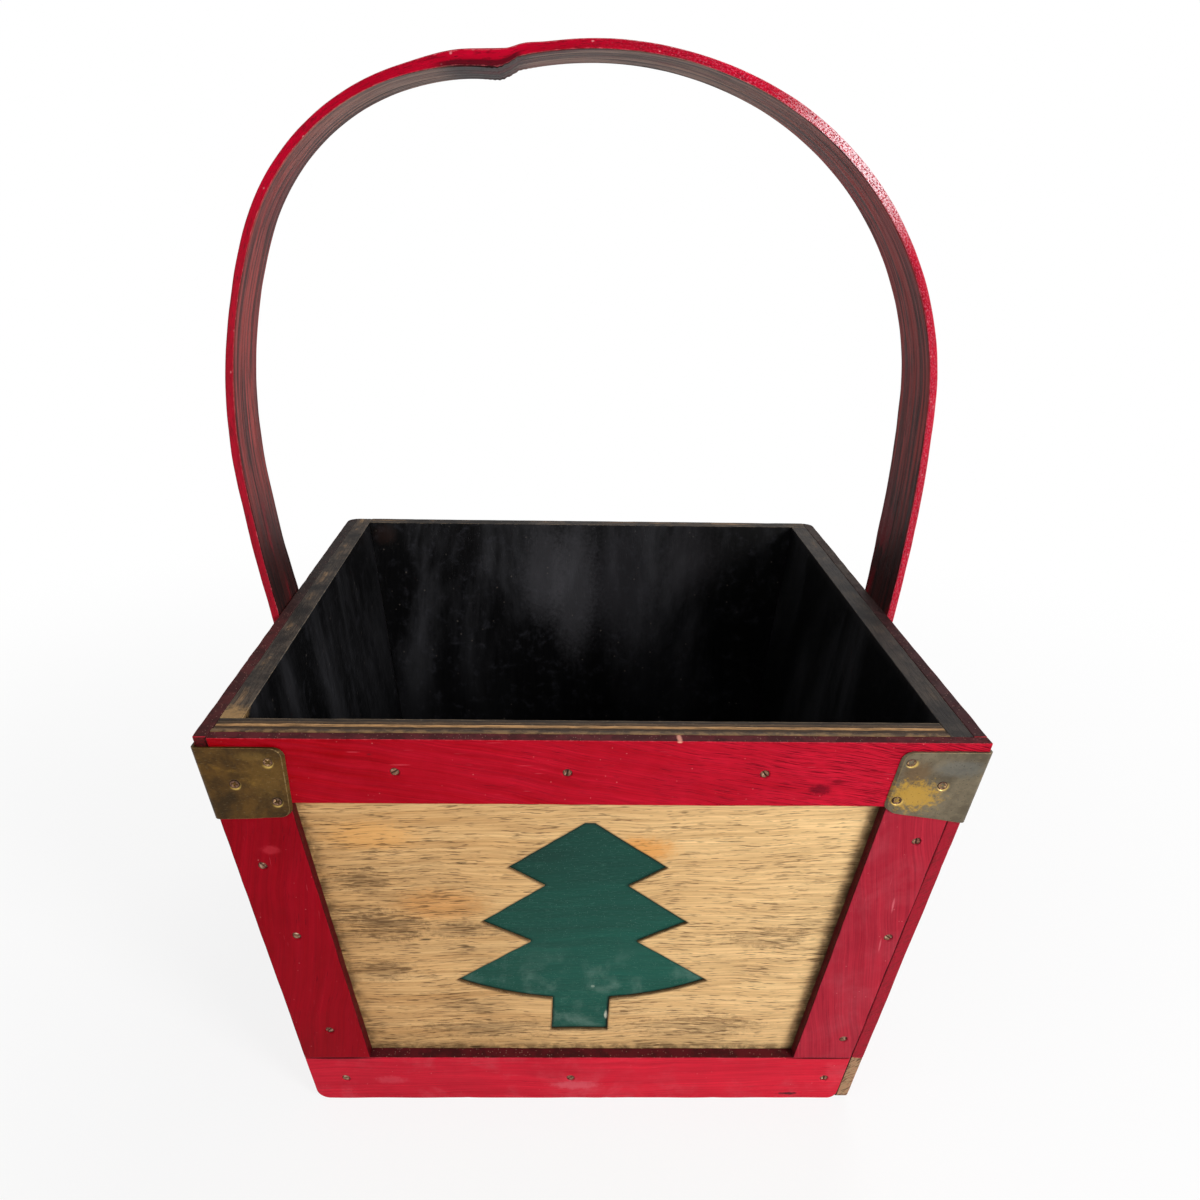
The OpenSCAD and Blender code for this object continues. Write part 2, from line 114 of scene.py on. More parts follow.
@dataclass(frozen=True)
class Carcass:
    """Driving sizes of the box and its layers."""

    top_width: float = 305 * MM
    base_width: float = 248.6 * MM
    height: float = 204 * MM
    ply: float = 9 * MM
    strip: float = 5.5 * MM
    top_rail: float = 31 * MM
    bottom_rail: float = 28 * MM
    stile: float = 32 * MM
    sheet: float = 2.4 * MM
    back_round: float = 7 * MM

    @property
    def flare(self) -> float:
        """How far the rim stands out over the underside on each side."""
        return (self.top_width - self.base_width) / 2

    @property
    def lean(self) -> float:
        """Angle between the walls and the vertical."""
        return math.atan2(self.flare, self.height)

    @property
    def slope_length(self) -> float:
        """Length of a wall down its slope."""
        return math.hypot(self.flare, self.height)

    @property
    def stile_downs(self) -> Pair:
        """Where the stiles start and end, between the rails."""
        return self.top_rail, self.slope_length - self.bottom_rail

    @property
    def front_ply(self) -> float:
        """Depth at which the front panel starts, behind strips and sheet."""
        return self.strip + self.sheet

    @property
    def front_inside(self) -> float:
        """Depth of the inner face of the front wall."""
        return self.front_ply + self.ply

    @property
    def side_inside(self) -> float:
        """Depth of the inner face of the side walls."""
        return self.strip + self.ply

    def half_at(self, level: float, depth: float) -> float:
        """Half width of the box at a level, at a depth inside its outer planes."""
        out = self.base_width / 2 + self.flare * level / self.height
        return out - depth / math.cos(self.lean)

    def level(self, down: float, depth: float) -> float:
        """Height over the underside of a place on a wall."""
        return self.height - down * math.cos(self.lean) + depth * math.sin(self.lean)

    def half_down(self, down: float, depth: float = 0.0) -> float:
        """Half width of the box at a place on a wall."""
        return self.half_at(self.level(down, depth), depth)

    def section(self, down: float, depth: float) -> Pair:
        """Distance from the box's middle plane, and level, of a place on a wall.

        The distance is half the top width, less down times the sine of the lean, less
        depth times its cosine.

        Args:
            down: Distance down the slope.
            depth: Depth behind the outer plane.

        Returns:
            Distance and level.
        """
        out = self.top_width / 2 - down * math.sin(self.lean) - depth * math.cos(self.lean)
        return out, self.level(down, depth)

    def rim(self, depth: float) -> float:
        """Distance down the slope at which a depth meets the rim."""
        return depth * math.tan(self.lean)

    def underside(self, depth: float) -> float:
        """Distance down the slope at which a depth meets the underside."""
        return self.height / math.cos(self.lean) + depth * math.tan(self.lean)

    def round_corner(self, points: NDArray, corner: Pair, radius: float, out: float,
                     inset: NDArray) -> NDArray:
        """Round one upright edge of the box.

        At each level the section is a square. Where a point lies nearer than the radius
        to both of its sides there, it is drawn in along the line to the centre of the
        round corner until it is one radius, less its own inset, away from it.

        Args:
            points: World points.
            corner: Signs of x and y at the corner.
            radius: Radius of the corner.
            out: How far the two faces stand outside the planes of the box.
            inset: How far each point lies inside its face, where edges are worn round.

        Returns:
            The points with those outside the round corner moved onto it.
        """
        slant = math.cos(self.lean)
        half = (self.base_width / 2 + self.flare * points[:, 2] / self.height + out / slant)[:, None]
        inward = (half - np.array(corner) * points[:, :2]) * slant
        reach = np.clip(radius - inward, 0.0, None)
        length = np.linalg.norm(reach, axis=1)
        limit = np.maximum(radius - inset, 1e-6)
        outside = ((length > limit) & (inward.max(1) < radius))[:, None]
        scale = np.where(outside, (limit / np.maximum(length, TINY))[:, None], 1.0)
        drawn = radius - (radius - inward) * scale
        moved = points.copy()
        moved[:, :2] = np.where(outside, np.array(corner) * (half - drawn / slant), points[:, :2])
        return moved


@dataclass(frozen=True)
class Wall:
    """One wall of the box, with its own coordinates along, down and depth."""

    carcass: Carcass
    side: Side

    def world(self, local: NDArray) -> NDArray:
        """Bring points of the wall into the model's frame.

        On the right-hand wall x and z are the section of down and depth, and y is along.
        The other walls are that one, turned.

        Args:
            local: Points as along, down, depth.

        Returns:
            World points.
        """
        along, down, depth = local.T
        x, z = self.carcass.section(down, depth)
        return np.stack([*turned(x, along, math.radians(self.side.value)), z], 1)


# Meshes


@dataclass(frozen=True)
class Ripples:
    """Smooth unevenness: a sum of sine waves of random bearings, phases and lengths."""

    seed: int
    wavelength: float
    count: int = 9

    def at(self, points: NDArray) -> NDArray:
        """Height of the waves, about -1 to 1, at each point.

        Args:
            points: Points in metres.

        Returns:
            One height for each.
        """
        chance = np.random.default_rng(self.seed)
        bearings = unit(chance.normal(size=(self.count, 3)))
        pitch = self.wavelength * chance.uniform(0.6, 1.9, self.count)
        phase = chance.uniform(0, 2 * math.pi, self.count)
        angle = points @ (bearings / pitch[:, None]).T * 2 * math.pi + phase
        return np.sin(angle).sum(1) / math.sqrt(self.count)


def make_object(name: str, points: NDArray, faces: list[NDArray], fields: Fields) -> bpy.types.Object:
    """Make a mesh object from arrays and link it to the scene.

    Args:
        name: Name of the object and its mesh.
        points: World points.
        faces: Arrays of point numbers, one array for each number of corners.
        fields: Named values for each point, single or threefold.

    Returns:
        The new object, with smooth shading weighted by the area of the faces.
    """
    mesh = bpy.data.meshes.new(name)
    corners = np.concatenate([group.ravel() for group in faces]).astype(np.int32)
    sizes = np.concatenate([np.full(len(group), group.shape[1]) for group in faces])
    starts = np.concatenate([[0], np.cumsum(sizes)[:-1]]).astype(np.int32)
    mesh.vertices.add(len(points))
    mesh.vertices.foreach_set("co", points.astype(np.float32).ravel())
    mesh.loops.add(len(corners))
    mesh.loops.foreach_set("vertex_index", corners)
    mesh.polygons.add(len(sizes))
    mesh.polygons.foreach_set("loop_start", starts)
    mesh.update(calc_edges=True)
    mesh.validate()
    for label, values in fields.items():
        kind, slot = ("FLOAT_VECTOR", "vector") if values.ndim == 2 else ("FLOAT", "value")
        layer = mesh.attributes.new(label, kind, "POINT")
        layer.data.foreach_set(slot, values.astype(np.float32).ravel())
    mesh.polygons.foreach_set("use_smooth", np.ones(len(sizes), bool))
    piece = bpy.data.objects.new(name, mesh)
    bpy.context.scene.collection.objects.link(piece)
    weighting = piece.modifiers.new("even_faces", "WEIGHTED_NORMAL")
    weighting.weight = 90
    return piece


def turned_faces(rings: int, around: int) -> tuple[NDArray, NDArray, NDArray]:
    """Faces of a turned form, where point j of ring i has the number i times around, plus j.

    The two poles follow the last ring.

    Args:
        rings: Number of rings.
        around: Points of a ring.

    Returns:
        Quads between the rings, and triangles at the first pole and at the last.
    """
    i, j = np.meshgrid(np.arange(rings - 1), np.arange(around), indexing="ij")
    k = (j + 1) % around
    quads = np.stack([i * around + j, (i + 1) * around + j, (i + 1) * around + k, i * around + k], -1)
    start = np.arange(around)
    after = (start + 1) % around
    pole, last = np.full(around, rings * around), (rings - 1) * around
    return (quads.reshape(-1, 4), np.stack([pole, start, after], 1),
            np.stack([pole + 1, last + after, last + start], 1))


def box_surface(lines: list[NDArray]) -> tuple[NDArray, NDArray]:
    """Closed surface of a box on three sets of grid lines.

    The lattice point i, j, k has the number i + na (j + nb k). Each side of the box is
    written as quads of these numbers, turned outwards, and the numbers in use are packed.

    Args:
        lines: Positions of the grid lines on the three axes.

    Returns:
        The points and the quads.
    """
    count_a, count_b, count_c = (len(line) for line in lines)
    grid = np.arange(count_a * count_b * count_c).reshape(count_c, count_b, count_a)
    sides = [grid[0], grid[-1].T, grid[:, 0].T, grid[:, -1], grid[:, :, 0], grid[:, :, -1].T]
    quads = np.concatenate([
        np.stack([g[:-1, :-1], g[1:, :-1], g[1:, 1:], g[:-1, 1:]], -1).reshape(-1, 4)
        for g in sides])
    used, packed = np.unique(quads, return_inverse=True)
    points = np.stack([lines[0][used % count_a], lines[1][used // count_a % count_b],
                       lines[2][used // (count_a * count_b)]], 1)
    return points, packed.reshape(-1, 4)


def merged(*lines: NDArray) -> NDArray:
    """Sort several sets of grid lines into one, without any that nearly coincide.

    Args:
        lines: Sets of positions.

    Returns:
        Sorted positions, of which the last always stays.
    """
    joined = np.unique(np.round(np.concatenate(lines), 7))
    keep = np.concatenate([[True], np.diff(joined) > 0.05 * MM])
    keep[-1] = True
    return joined[keep]


def grid_lines(length: float, arris: float, step: float, places: tuple[float, ...] | list[float] = (),
               reach: float = 0.0, fine: float = 1.0) -> NDArray:
    """Grid lines across a length: close at both rounded ends and near the places.

    Args:
        length: Length that the lines divide.
        arris: Radius of the rounded ends.
        step: Distance of the lines elsewhere.
        places: Positions that need closer lines.
        reach: How far the closer lines go on each side of a place.
        fine: Distance of the closer lines.

    Returns:
        Sorted positions from nought to the length.
    """
    ends = np.minimum(arris * np.array([0.0, 0.42, 0.73, 1.0, 1.6, 2.6]), length / 2)
    count = max(2, int(round((length - 2 * ends[-1]) / step)) + 1)
    lines = [ends, length - ends, np.linspace(ends[-1], length - ends[-1], count)]
    for place in places:
        near = place + np.arange(-reach, reach + fine / 2, fine)
        lines.append(near[(near > ends[-1]) & (near < length - ends[-1])])
    return merged(*lines)


@dataclass
class BoxPiece:
    """A piece drawn as a box with rounded, worn edges, which is then bent into place."""

    name: str
    arris: float = 0.5 * MM
    step: float = 3 * MM
    wear: float = 0.3
    wave: float = 0.05 * MM
    nicks: int = 0
    seed: int = 1
    plan_corners: tuple[tuple[int, int, float], ...] = ()

    def lengths(self) -> NDArray:
        """Sides of the box before it is bent."""
        raise NotImplementedError

    def lines(self) -> list[NDArray]:
        """Grid lines on the three sides."""
        return [grid_lines(side, self.arris, self.step) for side in self.lengths()]

    def relief(self, flat: NDArray, facing: NDArray) -> NDArray:
        """Height that the surface stands out, for box points and the way they face."""
        return self.wave * Ripples(self.seed + 5, 40 * MM).at(flat * [0.3, 1, 1])

    def bent(self, flat: NDArray, inset: NDArray) -> NDArray:
        """World points of box points, with how far each lies inside its face."""
        raise NotImplementedError

    def places(self, flat: NDArray) -> NDArray:
        """Coordinates that the finishes read, for box points."""
        return flat

    def extra_fields(self, flat: NDArray) -> Fields:
        """Further named values for each point."""
        return {}

    def nick_depth(self, flat: NDArray) -> NDArray:
        """Small bruises on the edges: bell curves of the distance to random edge places.

        Args:
            flat: Box points.

        Returns:
            How much the edge radius grows at each.
        """
        chance = np.random.default_rng(self.seed + 77)
        size = self.lengths()
        depth = np.zeros(len(flat))
        for _ in range(self.nicks):
            centre = size * chance.integers(0, 2, 3)
            long_axis = int(np.argmax(size))
            centre[long_axis] = chance.uniform(0.02, 0.98) * size[long_axis]
            spread = np.full(3, chance.uniform(0.5, 1.1) * MM)
            spread[long_axis] *= chance.uniform(1.0, 3.5)
            distance = (((flat - centre) / spread) ** 2).sum(1)
            depth += chance.uniform(0.1, 0.45) * MM * np.exp(-distance)
        return depth

    def round_plan(self, core: NDArray, facing: NDArray, radius: NDArray) -> None:
        """Round the chosen plan corners, in place.

        In the square between a corner and its centre, the core is drawn in to the arc of
        the plan radius less the edge radius, and the way it faces is turned to match.

        Args:
            core: Points one edge radius inside the surface.
            facing: Unit vectors from the core to the surface.
            radius: Edge radius at each point.
        """
        size = self.lengths()
        for *corner, round_radius in self.plan_corners:
            sign = 2.0 * np.array(corner) - 1.0
            centre = np.where(sign > 0, size[:2] - round_radius, round_radius)
            arm = (core[:, :2] - centre) * sign
            length = np.linalg.norm(arm, axis=1)
            limit = round_radius - radius[:, 0]
            near = (arm.min(1) > 0) & (length > 0.97 * limit)
            way = arm / np.maximum(length, TINY)[:, None] * sign
            flat_part = np.linalg.norm(facing[:, :2], axis=1)[:, None]
            core[near, :2] = (centre + way * np.minimum(length, limit)[:, None])[near]
            facing[near, :2] = (way * flat_part)[near]

    def build(self) -> bpy.types.Object:
        """Make the piece.

        A point is drawn in to the core box that lies one edge radius inside, and put back
        at that radius along the same line, which rounds edges and corners. The radius
        swells and shrinks along the piece, and grows at the nicks.

        Returns:
            The finished object.
        """
        size = self.lengths()
        flat, quads = box_surface(self.lines())
        swell = 1 + self.wear * Ripples(self.seed, 14 * MM).at(flat)
        radius = np.clip(self.arris * swell, 0.2 * self.arris, None) + self.nick_depth(flat)
        radius = np.minimum(radius, 0.49 * size.min())[:, None]
        core = np.clip(flat, radius, size - radius)
        facing = unit(flat - core)
        edge = np.sort(np.minimum(flat, size - flat), axis=1)[:, 1]
        self.round_plan(core, facing, radius)
        shaped = core + facing * (radius + self.relief(flat, facing)[:, None])
        inset = radius[:, 0] * (1 - np.hypot(facing[:, 0], facing[:, 2]))
        fields = {"place": self.places(flat), "facing": facing, "edge": edge, **self.extra_fields(flat)}
        return make_object(self.name, self.bent(shaped, inset), [quads], fields)


@dataclass
class Board(BoxPiece):
    """A flat board on a wall, bent from a box onto its eight corners.

    Where a down is None, the board is flush with the rim or the underside there.
    """

    wall: Wall | None = None
    depths: Pair = (0.0, 0.0)
    downs: tuple[float | None, float | None] = (None, None)
    ends: Ends = ((-1, 0.0), (1, 0.0))
    screws: list[Pair] = field(default_factory=list)
    well: float = 2.0 * MM
    well_wall: float = 0.35 * MM
    sink: float = 1.1 * MM
    layer_lines: int = 0
    groove: float = 0.16 * MM
    at_back: bool = False

    def corners(self) -> NDArray:
        """The board's corners in the wall's coordinates.

        Returns:
            An array over end, edge and face of along, down, depth.
        """
        box = self.wall.carcass
        out = np.empty((2, 2, 2, 3))
        for k, depth in enumerate(self.depths):
            flush = (box.rim(depth), box.underside(depth))
            for j, down in enumerate(self.downs):
                place = flush[j] if down is None else down
                level = box.level(place, depth)
                for i, (sign, inset) in enumerate(self.ends):
                    out[i, j, k] = (sign * box.half_at(level, inset), place, depth)
        return out

    def lengths(self) -> NDArray:
        """Sides of the board before it is bent.

        Returns:
            Mean length, mean width and thickness.
        """
        corner = self.corners()
        return np.array([(corner[1] - corner[0])[..., 0].mean(),
                         (corner[:, 1] - corner[:, 0])[..., 1].mean(),
                         self.depths[1] - self.depths[0]])

    def in_box(self, along: NDArray, down: NDArray) -> NDArray:
        """Box coordinates of places on the outer face, by undoing the bend there.

        Args:
            along: Along the wall.
            down: Down the wall.

        Returns:
            The two box coordinates of each place.
        """
        outer = self.corners()[:, :, 0]
        size = self.lengths()
        v = (down - outer[0, 0, 1]) / (outer[0, 1, 1] - outer[0, 0, 1])
        left = outer[0, 0, 0] + v * (outer[0, 1, 0] - outer[0, 0, 0])
        right = outer[1, 0, 0] + v * (outer[1, 1, 0] - outer[1, 0, 0])
        return np.stack([(along - left) / (right - left) * size[0], v * size[1]], -1)

    def spots(self) -> list[NDArray]:
        """Box coordinates of the screws."""
        return [self.in_box(np.array(along), np.array(down)) for along, down in self.screws]

    def lines(self) -> list[NDArray]:
        """Grid lines, closer round the screws, at the round corners and in the layers.

        Returns:
            Positions on the three sides.
        """
        size, spots = self.lengths(), self.spots()
        near = (2.4 * MM, 0.3 * MM)
        sides = [grid_lines(size[axis], self.arris, self.step, [spot[axis] for spot in spots], *near)
                 for axis in (0, 1)]
        close = np.arange(1.5 * MM, 11 * MM, 0.7 * MM)
        if self.at_back or self.plan_corners:
            sides[0] = merged(sides[0], close, size[0] - close)
        if self.plan_corners:
            sides[1] = merged(sides[1], close, size[1] - close)
        step = size[2] / self.layer_lines if self.layer_lines else self.step
        return [*sides, grid_lines(size[2], self.arris, step)]

    def places(self, flat: NDArray) -> NDArray:
        """Wall coordinates of box points: each corner weighs by the three shares.

        Args:
            flat: Box points.

        Returns:
            Along, down and depth, which every piece of a wall shares.
        """
        share = flat / self.lengths()
        weights = np.stack([1 - share, share], 1)
        return np.einsum("ni,nj,nk,ijkx->nx", weights[:, :, 0], weights[:, :, 1],
                         weights[:, :, 2], self.corners())

    def relief(self, flat: NDArray, facing: NDArray) -> NDArray:
        """Waves of the surface, less the screw wells and the grooves of the layers.

        Args:
            flat: Box points.
            facing: The way that each faces.

        Returns:
            How far each stands out.
        """
        wells = np.zeros(len(flat))
        for spot in self.spots():
            distance = np.linalg.norm(flat[:, :2] - spot, axis=1)
            wells = np.maximum(wells, 1 - soft_step(distance, self.well - self.well_wall, self.well))
        height = super().relief(flat, facing) - self.sink * wells * (facing[:, 2] < -0.9)
        if self.layer_lines:
            edge_face = 1 - np.abs(facing[:, 2])
            layer = np.sin(flat[:, 2] / self.lengths()[2] * 5 * math.pi) ** 2
            rough = 0.6 + 0.4 * Ripples(self.seed + 9, 9 * MM).at(flat)
            height = height - self.groove * layer * edge_face * rough
        return height

    def bent(self, flat: NDArray, inset: NDArray) -> NDArray:
        """World points, with the round edges of the box where the board is at the back.

        Args:
            flat: Box points.
            inset: How far each lies inside its face.

        Returns:
            World points.
        """
        points = self.wall.world(self.places(flat))
        box = self.wall.carcass
        for side in (-1.0, 1.0) if self.at_back else ():
            points = box.round_corner(points, (side, 1.0), box.back_round, 0.0, inset)
        return points


@dataclass
class FloorBoard(BoxPiece):
    """The floor, a flat board between the four walls."""

    carcass: Carcass = Carcass()

    def lengths(self) -> NDArray:
        """Sides of the floor before it is bent.

        Returns:
            Mean width, mean depth and thickness.
        """
        box = self.carcass
        middle = box.ply / 2
        return np.array([2 * box.half_at(middle, box.side_inside),
                         box.half_at(middle, box.front_inside) + box.half_at(middle, box.ply),
                         box.ply])

    def bent(self, flat: NDArray, inset: NDArray) -> NDArray:
        """World points: width and depth grow with the level as the walls lean out.

        Args:
            flat: Box points.
            inset: Not used, since the floor has no round upright edges.

        Returns:
            World points.
        """
        box = self.carcass
        share = flat / self.lengths()
        level = flat[:, 2]
        grown = box.flare * level / box.height
        half = box.half_at(0, box.side_inside) + grown
        front = -(box.half_at(0, box.front_inside) + grown)
        back = box.half_at(0, box.ply) + grown
        return np.stack([(2 * share[:, 0] - 1) * half, front + share[:, 1] * (back - front), level], 1)


# The tree and the sheet that it is cut from


def loop_normals(loop: NDArray) -> NDArray:
    """Outward offset for each point of a loop, so that its edges move by one unit.

    The two edge normals are added and divided by one plus their product, which is the
    mitre of the corner.

    Args:
        loop: Points of a closed loop that turns from the first axis to the second.

    Returns:
        Offset vectors.
    """
    edge = unit(np.roll(loop, -1, axis=0) - loop)
    normal = np.stack([edge[:, 1], -edge[:, 0]], 1)
    before = np.roll(normal, 1, axis=0)
    return (normal + before) / (1 + (normal * before).sum(1, keepdims=True))


def inside_loop(points: NDArray, loop: NDArray) -> NDArray:
    """Whether points lie in a closed loop: a ray from inside crosses it an odd number of times.

    Args:
        points: Points to test.
        loop: Corners of the loop.

    Returns:
        True for each point inside.
    """
    first, second = loop, np.roll(loop, -1, axis=0)
    rise = second[:, 1] - first[:, 1]
    slope = (second[:, 0] - first[:, 0]) / np.where(rise == 0, 1e-12, rise)
    found = []
    for part in np.array_split(points, max(1, len(points) // 4000)):
        x, y = part[:, :1], part[:, 1:]
        crosses = (first[:, 1] > y) != (second[:, 1] > y)
        found.append((crosses & (x < first[:, 0] + (y - first[:, 1]) * slope)).sum(1) % 2 == 1)
    return np.concatenate(found)


def loop_distance(points: NDArray, loop: NDArray) -> NDArray:
    """Distance of points to a closed loop: the least distance to any of its edges.

    Args:
        points: Points to measure from.
        loop: Corners of the loop.

    Returns:
        One distance for each point.
    """
    edge = np.roll(loop, -1, axis=0) - loop
    square = (edge**2).sum(1)
    found = []
    for part in np.array_split(points, max(1, len(points) // 4000)):
        gap = part[:, None] - loop
        share = np.clip((gap * edge).sum(2) / square, 0, 1)
        found.append(np.sqrt(((gap - share[..., None] * edge) ** 2).sum(2)).min(1))
    return np.concatenate(found)


@dataclass(frozen=True)
class TreeShape:
    """Outline of a plain three-tiered tree with a trunk.

    The tiers' corners are shares of the height and of half the width, from the top to the
    tip of the skirt.
    """

    width: float = 111 * MM
    height: float = 121.2 * MM
    top: float = 44.7 * MM
    aside: float = 2.9 * MM
    crook: float = 2.2 * MM
    fit: float = 0.99
    unsteady: float = 0.09 * MM
    tiers: tuple[Pair, ...] = ((0, 0.035), (0.195, 0.597), (0.279, 0.318), (0.449, 0.797), (0.545, 0.418),
                               (0.737, 1.0))
    sag: float = 0.102
    trunk: float = 0.229

    def corners(self) -> NDArray:
        """Corner points of the right half as down, along, from the top to the foot.

        The skirt's lower edge is an arc through its two tips and its lowest point.

        Returns:
            Points with the top of the tree at nought.
        """
        half, tall = self.width / 2, self.height
        tiers = np.array(self.tiers) * [tall, half]
        sag, trunk = self.sag * tall, self.trunk * half
        radius = (half**2 + sag**2) / (2 * sag)
        across = np.linspace(half, trunk, 24)[1:]
        hem = tiers[-1, 0] + sag - radius + np.sqrt(radius**2 - across**2)
        return np.concatenate([tiers, np.stack([hem, across], 1), [[tall, trunk]]])

    def outline(self, spacing: float, size: float = 1.0) -> NDArray:
        """Closed outline in wall coordinates, turned from along towards down.

        Args:
            spacing: Largest distance between two points.
            size: Size of the outline as a share, about its middle.

        Returns:
            Points as along, down.
        """
        half = self.corners()
        ring = np.concatenate([half, half[::-1] * [1, -1]])
        following = np.roll(ring, -1, axis=0)
        counts = np.maximum(1, np.ceil(np.linalg.norm(following - ring, axis=1) / spacing)).astype(int)
        start = np.repeat(np.arange(len(ring)), counts)
        share = np.concatenate([np.arange(n) / n for n in counts])
        dense = ring[start] + (following - ring)[start] * share[:, None]
        dense = (dense - [self.height / 2, 0]) * size + [self.height / 2, 0]
        crook = self.crook * (1 - dense[:, 0] / self.height)
        loop = np.stack([dense[:, 1] - self.aside + crook, dense[:, 0] + self.top], 1)
        wobble = Ripples(19, 7 * MM).at(np.column_stack([loop, np.zeros(len(loop))]))
        return loop + unit(loop_normals(loop)) * (self.unsteady * wobble)[:, None]


@dataclass
class Plate:
    """A thin flat piece of any outline on a wall, with rounded edges and true holes."""

    name: str
    wall: Wall
    outer: NDArray
    hole: NDArray | None
    depths: Pair
    arris: float = 0.3 * MM
    step: float = 2.2 * MM
    fine: float = 0.9 * MM
    near: float = 4 * MM
    board: Board | None = None

    def scattered(self, outer: NDArray, kerf: NDArray) -> NDArray:
        """Points inside the plate: a wide grid, and a close one near the tree's outline.

        Args:
            outer: Outline of the plate.
            kerf: Outline of the tree.

        Returns:
            Points of the plate's plane.
        """
        low, high = outer.min(0), outer.max(0)
        groups = []
        for spacing, reach in ((self.step, np.inf), (self.fine, self.near)):
            lines = [np.arange(low[axis] + spacing / 2, high[axis], spacing) for axis in (0, 1)]
            grid = np.stack(np.meshgrid(*lines), -1).reshape(-1, 2)
            distance = loop_distance(grid, kerf)
            band = (distance < reach) & (distance > 0.6 * spacing)
            band &= (distance > self.near) | (spacing == self.fine)
            groups.append(grid[band])
        points = np.concatenate(groups)
        keep = inside_loop(points, outer) & (loop_distance(points, outer) > 0.5 * self.fine)
        if self.hole is not None:
            keep &= ~inside_loop(points, self.hole)
        return points[keep]

    def front_faces(self, front: NDArray, drawn: list[NDArray], rings: list[NDArray]) -> NDArray:
        """Triangles of the front between its loops, turned outwards.

        Args:
            front: Points of the front.
            drawn: The loops, outline first, then the hole.
            rings: Numbers of the loops' points.

        Returns:
            Triangles of point numbers.
        """
        edges = np.concatenate([np.stack([ring, np.roll(ring, -1)], 1) for ring in rings])
        result = delaunay_2d_cdt([Vector(p) for p in (front / MM).tolist()], edges.tolist(), [], 0, 1e-5)
        source = np.array([origin[0] if origin else 0 for origin in result[3]])
        faces = source[np.array(result[2])]
        middle = front[faces].mean(1)
        keep = inside_loop(middle, drawn[0])
        if self.hole is not None:
            keep &= ~inside_loop(middle, drawn[1])
        faces = faces[keep]
        a, b, c = (front[faces[:, n]] for n in range(3))
        turn = (b - a)[:, 0] * (c - a)[:, 1] - (b - a)[:, 1] * (c - a)[:, 0]
        faces[turn > 0] = faces[turn > 0][:, ::-1]
        return faces

    def build(self) -> bpy.types.Object:
        """Make the plate.

        The front is triangulated between its loops, drawn in by the edge radius. Each loop
        is then carried through a quarter circle and down the wall to the back, which has
        the front's triangles turned round.

        Returns:
            The finished object.
        """
        loops = [self.outer] + ([self.hole[::-1]] if self.hole is not None else [])
        kerf = self.hole if self.hole is not None else self.outer
        normals = [loop_normals(loop) for loop in loops]
        drawn = [loop - normal * self.arris for loop, normal in zip(loops, normals)]
        front = np.concatenate(drawn + [self.scattered(drawn[0], kerf)])
        starts = np.cumsum([0] + [len(loop) for loop in loops])
        rings = [np.arange(a, b) for a, b in zip(starts[:-1], starts[1:])]
        faces = self.front_faces(front, drawn, rings)
        count = len(front)
        back = np.column_stack([front, np.full(count, self.depths[1] - self.depths[0])])
        for ring, loop in zip(rings, loops):
            back[ring, :2] = loop
        flat = [np.column_stack([front, np.zeros(count)]), back]
        pairs = []
        for loop, normal, ring in zip(loops, normals, rings):
            previous = ring
            for angle in np.radians([30.0, 60.0, 90.0]):
                offset = normal * self.arris * (math.sin(angle) - 1)
                depth = np.full(len(loop), self.arris * (1 - math.cos(angle)))
                current = np.arange(len(loop)) + sum(len(part) for part in flat)
                flat.append(np.column_stack([loop + offset, depth]))
                pairs.append((previous, current))
                previous = current
            pairs.append((previous, ring + count))
        bands = np.concatenate([np.stack([upper, lower, np.roll(lower, -1), np.roll(upper, -1)], 1)[:, ::-1]
                                for upper, lower in pairs])
        points = np.concatenate(flat)
        facing = np.zeros_like(points)
        facing[:, 2] = np.where(points[:, 2] < self.arris, -1.0, 0.0)
        local = np.column_stack([points[:, :2], self.depths[0] + points[:, 2]])
        if self.board is not None:
            corner = self.board.in_box(points[:, 0], points[:, 1])
            local = self.board.places(np.column_stack([corner, points[:, 2]]))
        fields = {"kerf": loop_distance(points[:, :2], kerf),
                  "edge": loop_distance(points[:, :2], self.outer),
                  "place": local.copy(), "facing": facing}
        wave = 0.05 * MM * Ripples(31, 30 * MM).at(points * [0.3, 1, 1])
        local[:, 2] += wave * (facing[:, 2] < -0.5)
        triangles = np.concatenate([faces, faces[:, ::-1] + count])
        return make_object(self.name, self.wall.world(local), [triangles, bands], fields)


# Metal pieces and the handle


